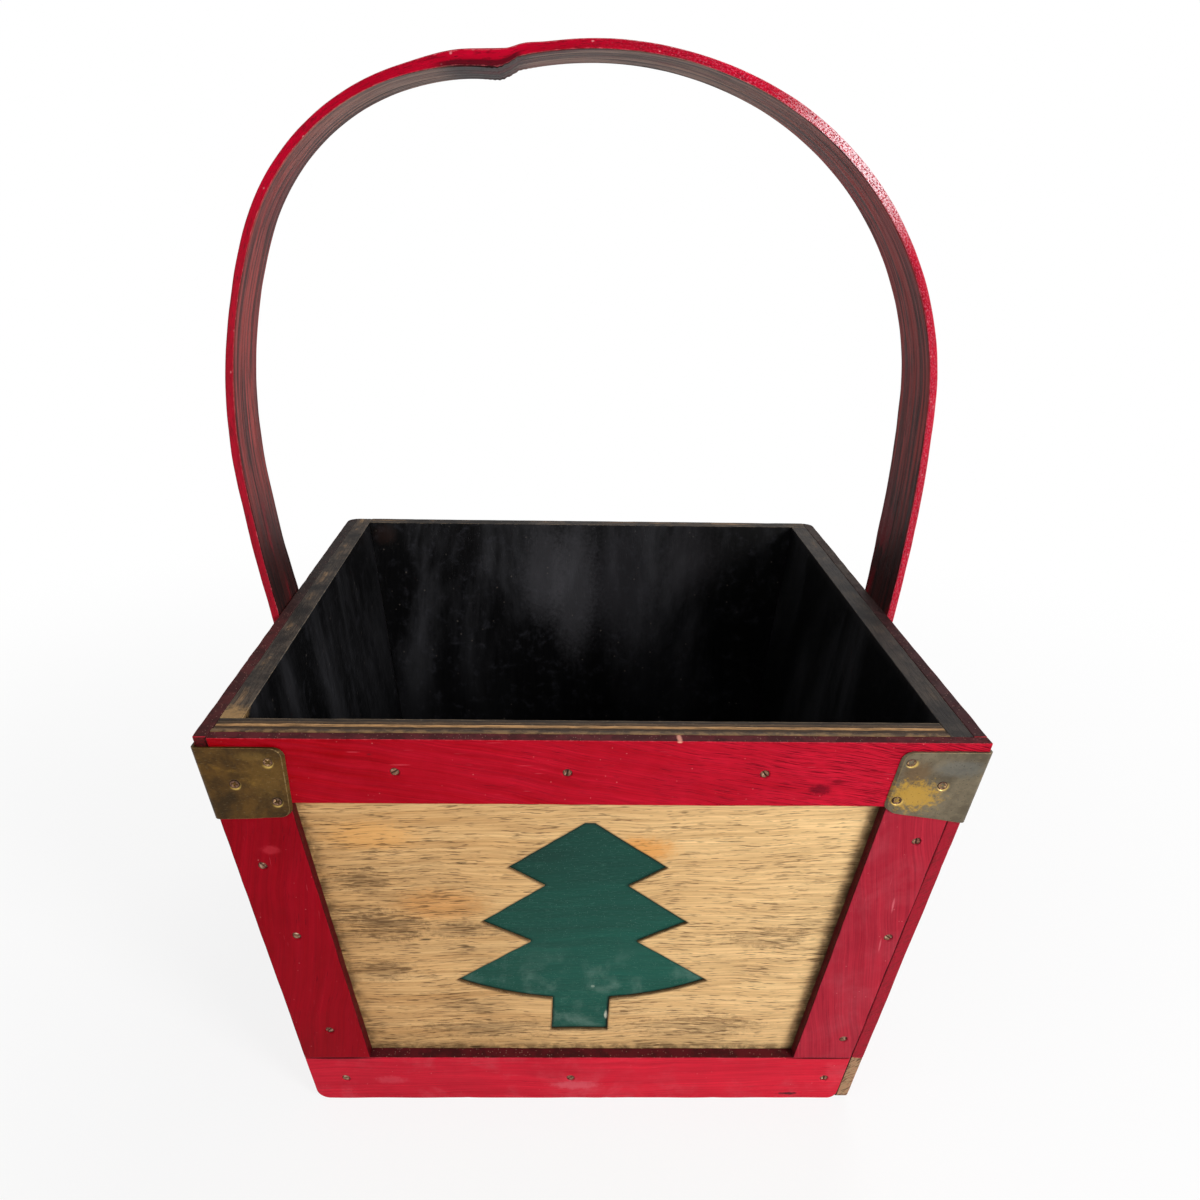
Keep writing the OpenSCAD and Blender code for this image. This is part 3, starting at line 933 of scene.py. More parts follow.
@dataclass
class CornerBracket(BoxPiece):
    """A stamped bracket, bent round one front corner of the box, with dimples for its screws.

    The splay is how much further the leaves reach at their top and at their foot than the
    drawn ones. The pins are shares of the reach and of the fall.
    """

    carcass: Carcass = Carcass()
    first: Side = Side.LEFT
    second: Side = Side.FRONT
    reach: float = 35 * MM
    top: float = 3.7 * MM
    fall: float = 35.2 * MM
    thick: float = 1.2 * MM
    bend: float = 2.0 * MM
    lift: float = 0.35 * MM
    tail: float = 0.0
    splay: Pair = (0.0, 0.0)
    pins: tuple[Pair, ...] = ((0.8, 0.19), (0.4, 0.49), (0.84, 0.73))

    def lengths(self) -> NDArray:
        """Both leaves' length, the fall of the outer edge, and the thickness."""
        return np.array([2 * self.reach, self.fall, self.thick])

    def low(self, share: NDArray) -> NDArray:
        """Lower edge, down the slope, at a share of the way from the corner to a leaf's end.

        Args:
            share: Shares of the way.

        Returns:
            Distances down.
        """
        lean = self.carcass.lean
        corner = (self.top + self.fall) / (1 + math.sin(lean) * math.tan(lean))
        end = self.top + self.fall - self.reach * math.tan(lean) + self.tail
        return corner + (end - corner) * share

    def span(self, down: NDArray) -> NDArray:
        """Length of a leaf from the corner, which leans, to its upright end, with its splay.

        Args:
            down: Distances down the slope.

        Returns:
            Lengths there.
        """
        width = self.carcass.half_down(down) - self.carcass.top_width / 2 + self.reach
        top, foot = self.splay
        return width + top + (foot - top) * (down - self.top) / self.fall

    def corner_out(self, down: NDArray) -> NDArray:
        """Half width of the box over the outer faces of the leaves."""
        return self.carcass.half_down(down, -self.thick)

    def pin_seats(self) -> NDArray:
        """Box coordinates of the screws of both leaves.

        Returns:
            Rows of two, the first leaf's screws before the second's.
        """
        along, fall = np.array(self.pins).T * [[self.reach], [self.fall]]
        down = self.top + fall
        from_corner = along - self.carcass.top_width / 2 + self.corner_out(down)
        share = np.clip(from_corner / self.span(down), 0, 1)
        across = (down - self.top) / (self.low(share) - self.top) * self.fall
        return np.concatenate([np.stack([self.reach * (1 - share), across], 1),
                               np.stack([self.reach * (1 + share), across], 1)])

    def lines(self) -> list[NDArray]:
        """Grid lines, closer round the screws and at the bend.

        Returns:
            Positions on the three sides.
        """
        size, seats = self.lengths(), self.pin_seats()
        close = np.arange(1 * MM, 5.5 * MM, 0.5 * MM)
        sides = [merged(grid_lines(size[axis], self.arris, 1.6 * MM, places, 3.6 * MM, 0.35 * MM), close,
                        size[axis] - close, *bend)
                 for axis, places, bend in ((0, seats[:, 0], [self.reach + np.linspace(-3 * MM, 3 * MM, 13)]),
                                            (1, seats[:3, 1], []))]
        return [*sides, grid_lines(size[2], self.arris, 0.5 * MM)]

    def relief(self, flat: NDArray, facing: NDArray) -> NDArray:
        """Hand-worked unevenness, and a dimple inside a ring round each screw.

        Args:
            flat: Box points.
            facing: The way that each faces.

        Returns:
            How far each stands out; the ring is a bell curve of the distance.
        """
        height = 0.07 * MM * Ripples(self.seed + 5, 15 * MM).at(flat)
        outer = facing[:, 2] < -0.9
        for seat in self.pin_seats():
            distance = np.linalg.norm(flat[:, :2] - seat, axis=1)
            dimple = 1 - soft_step(distance, 1.8 * MM, 2.8 * MM)
            ring = bell(distance - 2.8 * MM, 0.5 * MM)
            height = height + outer * (0.06 * ring - 0.45 * dimple) * MM
        return height

    def extra_fields(self, flat: NDArray) -> Fields:
        """Painted highlights: bright crescents on the rings round the screws, widest at the lower right.

        Args:
            flat: Box points.

        Returns:
            The field "highlight_crescent", from nought to one.
        """
        highlight_crescent = np.zeros(len(flat))
        for seat in self.pin_seats():
            arm = flat[:, :2] - seat
            distance = np.linalg.norm(arm, axis=1)
            way = (arm @ [0.6, 0.8]) / np.maximum(distance, TINY)
            ring = bell(distance - 2.3 * MM, 0.36 * MM)
            highlight_crescent = np.maximum(highlight_crescent, ring * np.clip(0.2 + 0.8 * way, 0, 1))
        return {"highlight_crescent": highlight_crescent}

    def bent(self, flat: NDArray, inset: NDArray) -> NDArray:
        """World points: each leaf lies on its wall, and the bend is round.

        Args:
            flat: Box points.
            inset: How far each lies inside its face.

        Returns:
            World points.
        """
        box = self.carcass
        share = np.abs(flat[:, 0] - self.reach) / self.reach
        down = self.top + flat[:, 1] / self.fall * (self.low(share) - self.top)
        free = soft_step(share, 0.6, 1.0) * (1 - soft_step(flat[:, 1] / self.fall, 0.0, 0.8))
        depth = flat[:, 2] - self.thick - self.lift * free
        along = box.half_down(down, depth) - share * self.span(down)
        one, two = (Wall(box, side).world(np.stack([sign * along, down, depth], 1))
                    for side, sign in ((self.first, 1), (self.second, -1)))
        points = np.where((flat[:, 0] < self.reach)[:, None], one, two)
        side = -1.0 if self.first is Side.LEFT else 1.0
        return box.round_corner(points, (side, -1.0), self.bend, self.thick, inset)


@dataclass(frozen=True)
class HalfHandle:
    """Bend of one half of the handle, drawn as the right-hand one."""

    straight: float
    side_radius: float
    crown: Pair
    crown_radius: float
    fullness: float


def bearing(way: NDArray) -> float:
    """Angle of a direction from the first axis."""
    return math.atan2(way[1], way[0])


def crossing(first: NDArray, first_radius: float, second: NDArray, second_radius: float) -> NDArray:
    """Crossing of two circles, on the left of the line from the first centre to the second.

    Args:
        first: Centre of the first circle.
        first_radius: Its radius.
        second: Centre of the second circle.
        second_radius: Its radius.

    Returns:
        The point.
    """
    line = second - first
    gap = np.linalg.norm(line)
    near = (first_radius**2 - second_radius**2 + gap**2) / (2 * gap)
    aside = math.sqrt(first_radius**2 - near**2)
    way = line / gap
    return first + near * way + aside * np.array([-way[1], way[0]])


def arc(centre: NDArray, radius: float, start: float, stop: float) -> tuple[NDArray, NDArray]:
    """Points of an arc every half millimetre.

    Args:
        centre: Its centre.
        radius: Its radius.
        start: Bearing of its start.
        stop: Bearing of its end.

    Returns:
        The points, and their directions from the centre.
    """
    count = max(2, int(abs(stop - start) * radius / (0.5 * MM)))
    angle = np.linspace(start, stop, count)
    way = np.stack([np.cos(angle), np.sin(angle)], 1)
    return centre + radius * way, way


@dataclass
class Strap(BoxPiece):
    """The bent strap of the handle, from the left wall over to the right one.

    The twist turns it about the upright, and the shift moves it to the left above the rim,
    by a length and by a share of x.
    """

    carcass: Carcass = Carcass()
    thick: float = 4 * MM
    width: float = 40 * MM
    lap: float = 30 * MM
    dent_round: float = 13 * MM
    twist: float = 0.02
    shift: Pair = (1.6 * MM, -0.6 / 160)
    right: HalfHandle = HalfHandle(13.426 * MM, 616.1 * MM, (2.9 * MM, 291.0035 * MM), 171.1965 * MM, 0.928)
    left: HalfHandle = HalfHandle(61.1934 * MM, 253.76 * MM, (35.4 * MM, 299.305 * MM), 158.295 * MM, 0.747)

    def on_slope(self, down: float, depth: float) -> NDArray:
        """Place in the section, x and height, on the right-hand wall."""
        return np.array(self.carcass.section(down, depth))

    def half(self, half: HalfHandle, last: float) -> tuple[NDArray, NDArray]:
        """Outer line of one half from its leg up to the dent.

        A straight leg, a wide arc, a tighter shoulder that touches it and the crown, and
        the crown's own arc.

        Args:
            half: Sizes of the half.
            last: Bearing at which the crown ends at the dent.

        Returns:
            Points of the section and their outward directions.
        """
        lean = self.carcass.lean
        crown = np.array(half.crown)
        side = self.on_slope(-half.straight, half.side_radius - self.thick)
        spare = half.side_radius + half.crown_radius - np.linalg.norm(side - crown)
        radius = half.fullness * spare / 2
        shoulder = crossing(side, half.side_radius - radius, crown, half.crown_radius - radius)
        low, high = bearing(shoulder - side), bearing(shoulder - crown)
        share = np.linspace(0, 1, 60)[:, None]
        leg = self.on_slope(self.lap, -self.thick) * (1 - share) + self.on_slope(
            -half.straight, -self.thick) * share
        outward = np.tile([math.cos(lean), -math.sin(lean)], (60, 1))
        parts = [(leg, outward), arc(side, half.side_radius, -lean, low),
                 arc(shoulder, radius, low, high), arc(crown, half.crown_radius, high, last)]
        return np.concatenate([p for p, _ in parts]), np.concatenate([n for _, n in parts])

    def path(self) -> tuple[NDArray, NDArray, NDArray, float]:
        """The whole outer line from left to right.

        Returns:
            Length so far, points, outward directions, and the length at the dent.
        """
        right_crown = np.array(self.right.crown)
        left_crown = np.array(self.left.crown) * [-1, 1]
        dent = crossing(left_crown, self.left.crown_radius + self.dent_round,
                        right_crown, self.right.crown_radius + self.dent_round)
        right, right_way = self.half(self.right, bearing(dent - right_crown))
        left, left_way = self.half(self.left, math.pi - bearing(dent - left_crown))
        bowl, bowl_way = arc(dent, self.dent_round, bearing(left_crown - dent), bearing(right_crown - dent))
        points = np.concatenate([left * [-1, 1], bowl, right[::-1]])
        ways = np.concatenate([left_way * [-1, 1], -bowl_way, right_way[::-1]])
        step = np.linalg.norm(np.diff(points, axis=0), axis=1)
        length = np.concatenate([[0.0], np.cumsum(step)])
        return length, points, ways, float(length[len(left) + len(bowl) // 2])

    def lengths(self) -> NDArray:
        """Length of the outer line, width and thickness."""
        return np.array([self.path()[0][-1], self.width, self.thick])

    def lines(self) -> list[NDArray]:
        """Grid lines, closer at the dent."""
        size = self.lengths()
        return [grid_lines(size[0], self.arris, 2.5 * MM, [self.path()[3]], 24 * MM, 0.7 * MM),
                grid_lines(size[1], self.arris, 1.3 * MM), grid_lines(size[2], self.arris, 0.6 * MM)]

    def relief(self, flat: NDArray, facing: NDArray) -> NDArray:
        """Lengthwise ridges of the wood, and crushed folds on the inner face at the dent.

        Args:
            flat: Box points.
            facing: The way that each faces.

        Returns:
            How far each stands out.
        """
        broad = np.abs(facing[:, 2])
        ridges = Ripples(self.seed + 3, 3.2 * MM).at(flat * [0.012, 1, 1])
        waves = Ripples(self.seed + 4, 26 * MM).at(flat * [0.4, 1, 1])
        near = bell(flat[:, 0] - self.path()[3], 9 * MM)
        folds = np.sin(flat[:, 0] / (2.3 * MM) * 2 * math.pi + 0.9 * np.sin(flat[:, 1] / (5 * MM)))
        inner = facing[:, 2] < -0.5
        return (0.07 * broad * ridges + 0.09 * waves + 0.12 * near * folds * inner) * MM

    def crushed(self, past: NDArray) -> tuple[NDArray, NDArray]:
        """How the wood swells at the dent, by the distance past it.

        Inwards it falls off as an exponential curve on the left and ends softly on the
        right; outwards it has a bell curve on each side.

        Args:
            past: Distance past the dent, along the strap.

        Returns:
            The swell outwards and inwards.
        """
        left = np.sqrt(np.clip(-6 * MM - past, 0, None) ** 2 + (3 * MM) ** 2) - 3 * MM
        inner = 3.2 * MM * np.exp(-left / (20 * MM)) * (1 - soft_step(past, -5 * MM, 4 * MM))
        return 0.8 * MM * (bell(past + 24 * MM, 12 * MM) + bell(past - 7 * MM, 6 * MM)), inner

    def bent(self, flat: NDArray, inset: NDArray) -> NDArray:
        """World points: a place on the outer line, less its outward direction times the depth.

        The strap is then turned a little about the upright, and set aside above the rim.

        Args:
            flat: Box points.
            inset: Not used, since the strap follows no corner of the box.

        Returns:
            World points.
        """
        length, points, ways, dent = self.path()
        at, way = (np.stack([np.interp(flat[:, 0], length, rows[:, axis]) for axis in (0, 1)], 1)
                   for rows in (points, ways))
        way = unit(way)
        before = np.minimum(flat[:, 0], 0.0) + np.maximum(flat[:, 0] - length[-1], 0.0)
        depth = self.thick - flat[:, 2]
        outer, inner = self.crushed(flat[:, 0] - dent)
        deeper = depth + (inner * depth - outer * (self.thick - depth)) / self.thick
        section = at - way * deeper[:, None]
        section = section + np.stack([way[:, 1], -way[:, 0]], 1) * before[:, None]
        x, y, z = section[:, 0], flat[:, 1] - self.width / 2, section[:, 1]
        rim = self.carcass.height
        free = soft_step(z, rim - 20 * MM, rim + 40 * MM)
        aside = self.shift[0] + self.shift[1] * x
        return np.stack([x - (self.twist * y + aside) * free, y + self.twist * x, z], 1)

    def extra_fields(self, flat: NDArray) -> Fields:
        """Distances along the strap to the dent and to the nearer end."""
        length = self.lengths()[0]
        return {"dent": flat[:, 0] - self.path()[3], "end": np.minimum(flat[:, 0], length - flat[:, 0])}


class Recess(Enum):
    """Recesses of the screws."""

    CROSS = "cross"
    SLOT = "slot"


@dataclass(frozen=True)
class Seat:
    """Place of a screw head on a wall, with the depth of its rim and the turn of its recess."""

    wall: Wall
    along: float
    down: float
    depth: float
    turn: float


@dataclass(frozen=True)
class ScrewHead:
    """Shape of a screw head: a shallow turned form with a recess.

    The rings are shares of the radius, the first ten on its top, and the drops are shares
    of the skirt.
    """

    radius: float
    dome: float
    recess: Recess
    skirt: float = 0.9 * MM
    segments: int = 28
    rings: tuple[float, ...] = (0.1, 0.2, 0.3, 0.4, 0.5, 0.6, 0.7, 0.8, 0.9, 0.97, 1.0, 0.99, 0.8)
    drops: tuple[float, ...] = (0.0,) * 10 + (0.12, 1.0, 1.0)
    arm: float = 0.27
    cut: float = 0.34

    def cross_arm(self, across: NDArray, out: NDArray) -> NDArray:
        """One arm of a cross, by the distance across it and out along it."""
        radius, arm = self.radius, self.arm * self.radius
        inside = 1 - soft_step(np.abs(across), arm * 0.6, arm)
        return inside * (1 - soft_step(np.abs(out), 0.6 * radius, 0.72 * radius))

    def surface(self) -> tuple[NDArray, NDArray, NDArray]:
        """One head, its axis along z and its rim at z nought.

        The height over the rim is the dome times one less the square of r over the radius.
        The recess is cut where a point lies in one of its arms. The rings of the turned
        form run from the top's pole down the skirt to the bottom's pole.

        Returns:
            The points, the quads between rings and the triangles at the poles.
        """
        rings = self.radius * np.array(self.rings)[:, None]
        angle = np.arange(self.segments) * 2 * math.pi / self.segments
        x, y = rings * np.cos(angle), rings * np.sin(angle)
        on_top = (np.array(self.drops) == 0)[:, None]
        if self.recess is Recess.SLOT:
            arm = self.arm * self.radius
            recess = 1 - soft_step(np.abs(y), arm * 0.5, arm * 0.9)
        else:
            recess = np.maximum(self.cross_arm(y, x), self.cross_arm(x, y))
        height = self.dome * (1 - (rings / self.radius) ** 2) - self.cut * self.radius * recess
        z = np.where(on_top, height, -self.skirt * np.array(self.drops)[:, None])
        poles = np.array([[0, 0, self.dome - self.cut * self.radius], [0, 0, -self.skirt]])
        quads, *caps = turned_faces(len(rings), self.segments)
        return np.concatenate([np.stack([x, y, z], -1).reshape(-1, 3), poles]), quads, np.concatenate(caps)

    def build(self, name: str, seats: list[Seat]) -> bpy.types.Object:
        """Make one piece of all the heads of a kind.

        Args:
            name: Name of the piece.
            seats: Where the heads sit.

        Returns:
            The finished object.
        """
        points, *faces = self.surface()
        world, own, lot = [], [], []
        chance = np.random.default_rng(len(seats))
        for number, seat in enumerate(seats):
            x, y = turned(points[:, 0], points[:, 1], math.radians(seat.turn))
            local = np.stack([seat.along + x, seat.down - y, seat.depth - points[:, 2]], 1)
            world.append(seat.wall.world(local))
            own.append(points + [0.05 * number, 0, 0])
            lot.append(np.full(len(points), chance.uniform()))
        radial = np.hypot(points[:, 0], points[:, 1]) / self.radius
        fields = {"place": np.concatenate(own), "chance": np.concatenate(lot),
                  "edge": np.tile(1 - radial, len(seats))}
        every = [np.concatenate([group + number * len(points) for number in range(len(seats))])
                 for group in faces]
        return make_object(name, np.concatenate(world), every, fields)


# Node trees


class Value:
    """What a node puts out; sums, products and the like of it add Math nodes."""

    def __init__(self, bench: Bench, socket: bpy.types.NodeSocket) -> None:
        """Keep the bench and the socket."""
        self.bench, self.socket = bench, socket

    def maths(self, action: str, first: Feed, second: Feed = 0.0) -> Value:
        """Result of a Math node."""
        return self.bench.out("Math", {0: first, 1: second}, operation=action)

    def __add__(self, other: Feed) -> Value:
        """Sum."""
        return self.maths("ADD", self, other)

    def __sub__(self, other: Feed) -> Value:
        """Difference."""
        return self.maths("SUBTRACT", self, other)

    def __rsub__(self, other: Feed) -> Value:
        """Difference from a plain number."""
        return self.maths("SUBTRACT", other, self)

    def __mul__(self, other: Feed) -> Value:
        """Product."""
        return self.maths("MULTIPLY", self, other)

    def __truediv__(self, other: Feed) -> Value:
        """Quotient."""
        return self.maths("DIVIDE", self, other)

    def __neg__(self) -> Value:
        """The value with its sign turned."""
        return self * -1.0

    def __abs__(self) -> Value:
        """The value without its sign."""
        return self.maths("ABSOLUTE", self)

    def most(self, other: Feed) -> Value:
        """The larger of two values."""
        return self.maths("MAXIMUM", self, other)

    def capped(self) -> Value:
        """The value of a Math node, kept between nought and one."""
        self.socket.node.use_clamp = True
        return self

    def span(self, low: Feed, high: Feed, first: Feed = 0.0, second: Feed = 1.0,
             smooth: bool = True) -> Value:
        """Carry the value from the range of low to high over to that of first to second.

        Args:
            low: Start of the range.
            high: End of the range.
            first: Result at the start and before it.
            second: Result at the end and past it.
            smooth: Whether both ends are soft.

        Returns:
            The result.
        """
        style = "SMOOTHSTEP" if smooth else "LINEAR"
        feeds = {0: self, 1: low, 2: high, 3: first, 4: second}
        return self.bench.out("MapRange", feeds, interpolation_type=style, clamp=True)

    def fade(self, low: Feed, high: Feed) -> Value:
        """Fall softly from one at low to nought at high."""
        return self.span(low, high, 1.0, 0.0)

    def blend(self, first: Feed, second: Feed) -> Value:
        """Mix of two colours, values or display steps, by this share."""
        one, two = (ink(end) if isinstance(end, tuple) else end for end in (first, second))
        return self.bench.out("Mix", {0: self, 6: one, 7: two}, 2, data_type="RGBA")

    def between(self, first: Feed, second: Feed) -> Value:
        """Mix of two numbers, by this share."""
        return self.bench.out("Mix", {0: self, 2: first, 3: second}, data_type="FLOAT")

    def parts(self) -> list[Value]:
        """The three parts of a vector."""
        return [Value(self.bench, part) for part in self.bench.add("SeparateXYZ", {0: self}).outputs]

    def mapped(self, size: Triple = (1, 1, 1), shift: Triple = (0, 0, 0)) -> Value:
        """Coordinates stretched by a size and then moved by a shift."""
        return self.bench.out("Mapping", {"Vector": self, "Location": shift, "Scale": size})

    def noise(self, scale: Feed, detail: float = 4.0, rough: float = 0.55, bend: float = 0.0) -> Value:
        """Noise over these coordinates, about 0.5 on average."""
        feeds = {"Vector": self, "Scale": scale, "Detail": detail, "Roughness": rough, "Distortion": bend}
        return self.bench.out("TexNoise", feeds, noise_dimensions="3D")


Feed = Value | float | tuple


class Bench:
    """Adds nodes to one node tree and joins them."""

    def __init__(self, tree: bpy.types.NodeTree) -> None:
        """Keep the tree."""
        self.tree = tree

    def join(self, node: bpy.types.Node, feeds: dict[str | int, Feed]) -> None:
        """Give a node its inputs.

        Args:
            node: The node.
            feeds: Values or plain values for its inputs, by name or number.
        """
        for key, feed in feeds.items():
            if isinstance(feed, Value):
                self.tree.links.new(feed.socket, node.inputs[key])
            else:
                node.inputs[key].default_value = feed

    def add(self, kind: str, feeds: dict[str | int, Feed], **settings: object) -> bpy.types.Node:
        """Add a shader node.

        Args:
            kind: Kind of the node, without its prefix.
            feeds: Its inputs.
            settings: Values of its own properties.

        Returns:
            The node.
        """
        node = self.tree.nodes.new("ShaderNode" + kind)
        for key, value in settings.items():
            setattr(node, key, value)
        self.join(node, feeds)
        return node

    def out(self, kind: str, feeds: dict[str | int, Feed], output: str | int = 0,
            **settings: object) -> Value:
        """Add a shader node, for one of its outputs."""
        return Value(self, self.add(kind, feeds, **settings).outputs[output])

    def field(self, name: str, output: str = "Fac") -> Value:
        """A piece's own named value."""
        return self.out("Attribute", {}, output, attribute_name=name, attribute_type="GEOMETRY")

    def vector(self, x: Feed, y: Feed, z: Feed) -> Value:
        """A vector of three parts."""
        return self.out("CombineXYZ", {0: x, 1: y, 2: z})

    def length(self, vector: Feed) -> Value:
        """Length of a vector."""
        return self.out("VectorMath", {0: vector}, "Value", operation="LENGTH")

    def ray(self, kind: str) -> Value:
        """One for the light rays of a kind."""
        return self.out("LightPath", {}, f"Is {kind} Ray")

    def effect(self, name: str, **feeds: Feed) -> dict[str, Value]:
        """Outputs of one of the shared effects, by name, with its own values."""
        node = self.add("Group", feeds, node_tree=bpy.data.node_groups[name])
        return {output.name: Value(self, output) for output in node.outputs}


class Effect(Bench):
    """A shared node group under work."""

    kinds = {"Place": "Vector", "Centre": "Vector", "Reach": "Vector", "Color": "Color"}

    def __init__(self, name: str, inputs: str, outputs: str) -> None:
        """Make the group and its sockets, which are numbers if they aren't among the kinds.

        Args:
            name: Name of the effect.
            inputs: Names of the inputs.
            outputs: Names of the outputs.
        """
        super().__init__(bpy.data.node_groups.new(name, "ShaderNodeTree"))
        for way, labels in (("INPUT", inputs), ("OUTPUT", outputs)):
            for label in labels.split():
                kind = "NodeSocket" + self.kinds.get(label, "Float")
                self.tree.interface.new_socket(name=label, in_out=way, socket_type=kind)
        sockets = self.tree.nodes.new("NodeGroupInput").outputs
        self.given = [Value(self, sockets[label]) for label in inputs.split()]
        self.result = self.tree.nodes.new("NodeGroupOutput")

    def give(self, **values: Value) -> None:
        """Join values to the outputs of the group."""
        self.join(self.result, values)


def make_effects() -> None:
    """Build the effects that the finishes share."""
    grain = Effect("wood_grain", "Place Slant Streak Pore Long Share", "Tone Fibre Pores Height")
    place, slant, streak, pore, long, share = grain.given
    x, y, z = place.parts()
    across = x * slant + y + (place.noise(14.0, 2.0) - 0.5) * 0.01
    run = x * long
    tone = grain.vector(x * 0.06, across, z).noise(streak, 7.0, 0.66)
    fibre = grain.vector(run * 0.3, across, z).noise(pore * 0.6, 3.0, 0.65)
    dashes = grain.vector(run, across, z).noise(pore, 2.0, 0.6)
    crowd = (place.noise(70.0, 4.0) - 0.5) * 0.2
    pores = (dashes - (0.74 - share * 0.3 - crowd)).span(-0.02, 0.09)
    grain.give(Tone=tone.span(0.3, 0.7, smooth=False), Fibre=fibre.span(0.35, 0.65, smooth=False),
               Pores=pores, Height=fibre * 0.35 - pores)

    wear = Effect("edge_wear", "Edge Width Place Amount", "Mask")
    edge, width, place, amount = wear.given
    level = edge.span(0.0, width, 1.0, 0.0, smooth=False) + (place.noise(260.0, 5.0, 0.7) - 0.5) * 1.9
    wear.give(Mask=(level - (1.25 - amount)).span(-0.08, 0.3))

    spot = Effect("spot", "Place Centre Reach Rough", "Mask")
    place, centre, reach, rough = spot.given
    gap = spot.out("VectorMath", {0: place, 1: centre}, operation="SUBTRACT")
    away = spot.length(spot.out("VectorMath", {0: gap, 1: reach}, operation="DIVIDE"))
    spot.give(Mask=((place.noise(420.0, 5.0, 0.7) - 0.5) * rough + away).fade(0.35, 1.0))

    blotch = Effect("blotches", "Place Size Low High", "Mask")
    place, size, low, high = blotch.given
    blotch.give(Mask=place.noise(size, 6.0, 0.65, 0.3).span(low, high))

    speckle = Effect("speckle", "Place Size Share", "Mask")
    place, size, share = speckle.given
    cells = speckle.add("TexVoronoi", {"Vector": place, "Scale": size}, feature="F1").outputs
    dots = Value(speckle, cells["Distance"]).fade(0.12, 0.34)
    chosen = Value(speckle, cells["Color"]).parts()[0].span(1.0 - share, 1.02 - share)
    speckle.give(Mask=dots * chosen)

    layers = Effect("ply_layers", "Share Place Bare", "Color Height")
    share, place, bare = layers.given
    ramp = layers.add("ValToRGB", {0: share + (place.noise(110.0, 5.0, 0.6) - 0.5) * 0.16})
    steps = [(0.0, (50, 36, 28)), (0.1, (84, 62, 42)), (0.19, (34, 26, 20)), (0.27, (176, 132, 84)),
             (0.45, (204, 158, 106)), (0.52, (44, 32, 24)), (0.62, (108, 84, 60)), (0.76, (70, 56, 42)),
             (0.84, (36, 29, 24)), (0.93, (88, 74, 58)), (1.0, (128, 110, 88))]
    while len(ramp.color_ramp.elements) < len(steps):
        ramp.color_ramp.elements.new(0.5)
    for element, (position, colour) in zip(ramp.color_ramp.elements, steps):
        element.position = position
        element.color = ink(colour)
    streaks = place.mapped((0.07, 1, 1)).noise(1500.0, 4.0, 0.7)
    dark = streaks.span(0.44, 0.6)
    cloud = place.noise(45.0, 6.0, 0.7)
    grime = cloud.span(0.36, 0.66).blend((32, 28, 26), (88, 77, 67))
    kept = (cloud.span(0.32, 0.7, -0.35, 0.35) + bare).capped()
    coloured = (dark * 0.62).blend(kept.blend(grime, Value(layers, ramp.outputs[0])), (26, 20, 17))
    pale = place.mapped((0.25, 1, 1), (0.4, 0, 0)).noise(1900.0, 3.0).span(0.64, 0.74)
    pale = pale * bare.span(-0.2, 0.6, 0.15, 0.6)
    layers.give(Color=pale.blend(coloured, (150, 132, 108)), Height=streaks * 0.5 - dark)


@dataclass(frozen=True)
class Gloss:
    """Shine and relief of a finish; all but the relief's height are the same everywhere."""

    relief: float = 0.35
    depth: float = 0.25 * MM
    specular: float = 0.12
    metal: float = 0.0


class Surface(Bench):
    """One material under work: a bench with its piece's own fields and its shader."""

    def __init__(self, name: str) -> None:
        """Start the material and read the fields that its piece carries.

        Args:
            name: Name of the material.
        """
        self.material = bpy.data.materials.new(name)
        self.material.use_nodes = True
        super().__init__(self.material.node_tree)
        self.shader = next(n for n in self.tree.nodes if n.type == "BSDF_PRINCIPLED")
        self.place = self.field("place", "Vector")
        self.along, self.down, self.depth = self.place.parts()
        self.facing = self.field("facing", "Vector").parts()
        self.edge = self.field("edge")
        self.colour: Feed = (0, 0, 0)

    def lay(self, mask: Value, share: float, steps: Steps) -> None:
        """Lay a colour over what is there, where a mask is up, as strongly as the share says."""
        self.colour = (mask if share == 1.0 else mask * share).blend(self.colour, steps)

    def lay_marks(self, marks: tuple[Mark, ...]) -> None:
        """Lay marks over what is there."""
        for mark in marks:
            self.lay(mark.mask(self), mark.strength, mark.colour)

    def blotches(self, size: float, low: float, high: float, place: Value | None = None) -> Value:
        """Cloudy mask over the piece."""
        return self.effect("blotches", Place=place or self.place, Size=size, Low=low, High=high)["Mask"]

    def specks(self, size: float, share: float, place: Value | None = None) -> Value:
        """Mask of scattered specks."""
        return self.effect("speckle", Place=place or self.place, Size=size, Share=share)["Mask"]

    def worn(self, width: float, amount: float) -> Value:
        """Mask of the rubbed arrises."""
        return self.effect("edge_wear", Edge=self.edge, Width=width, Place=self.place, Amount=amount)["Mask"]

    def grain(self, place: Value, slant: float, streak: float, pore: float, share: Feed,
              long: float = 0.1) -> dict[str, Value]:
        """Outputs of the wood grain, by name."""
        return self.effect("wood_grain", Place=place, Slant=slant, Streak=streak, Pore=pore, Long=long,
                           Share=share)

    def finish(self, rough: Value, height: Value, gloss: Gloss) -> bpy.types.Material:
        """Join colour, roughness and relief to the shader.

        Args:
            rough: Roughness.
            height: Height of the relief.
            gloss: Shine and strength of the relief.

        Returns:
            The material.
        """
        bump = self.out("Bump", {"Strength": gloss.relief, "Distance": gloss.depth, "Height": height})
        self.join(self.shader, {"Base Color": self.colour, "Roughness": rough, "Normal": bump,
                                "Specular IOR Level": gloss.specular, "Metallic": gloss.metal})
        return self.material


# Finishes


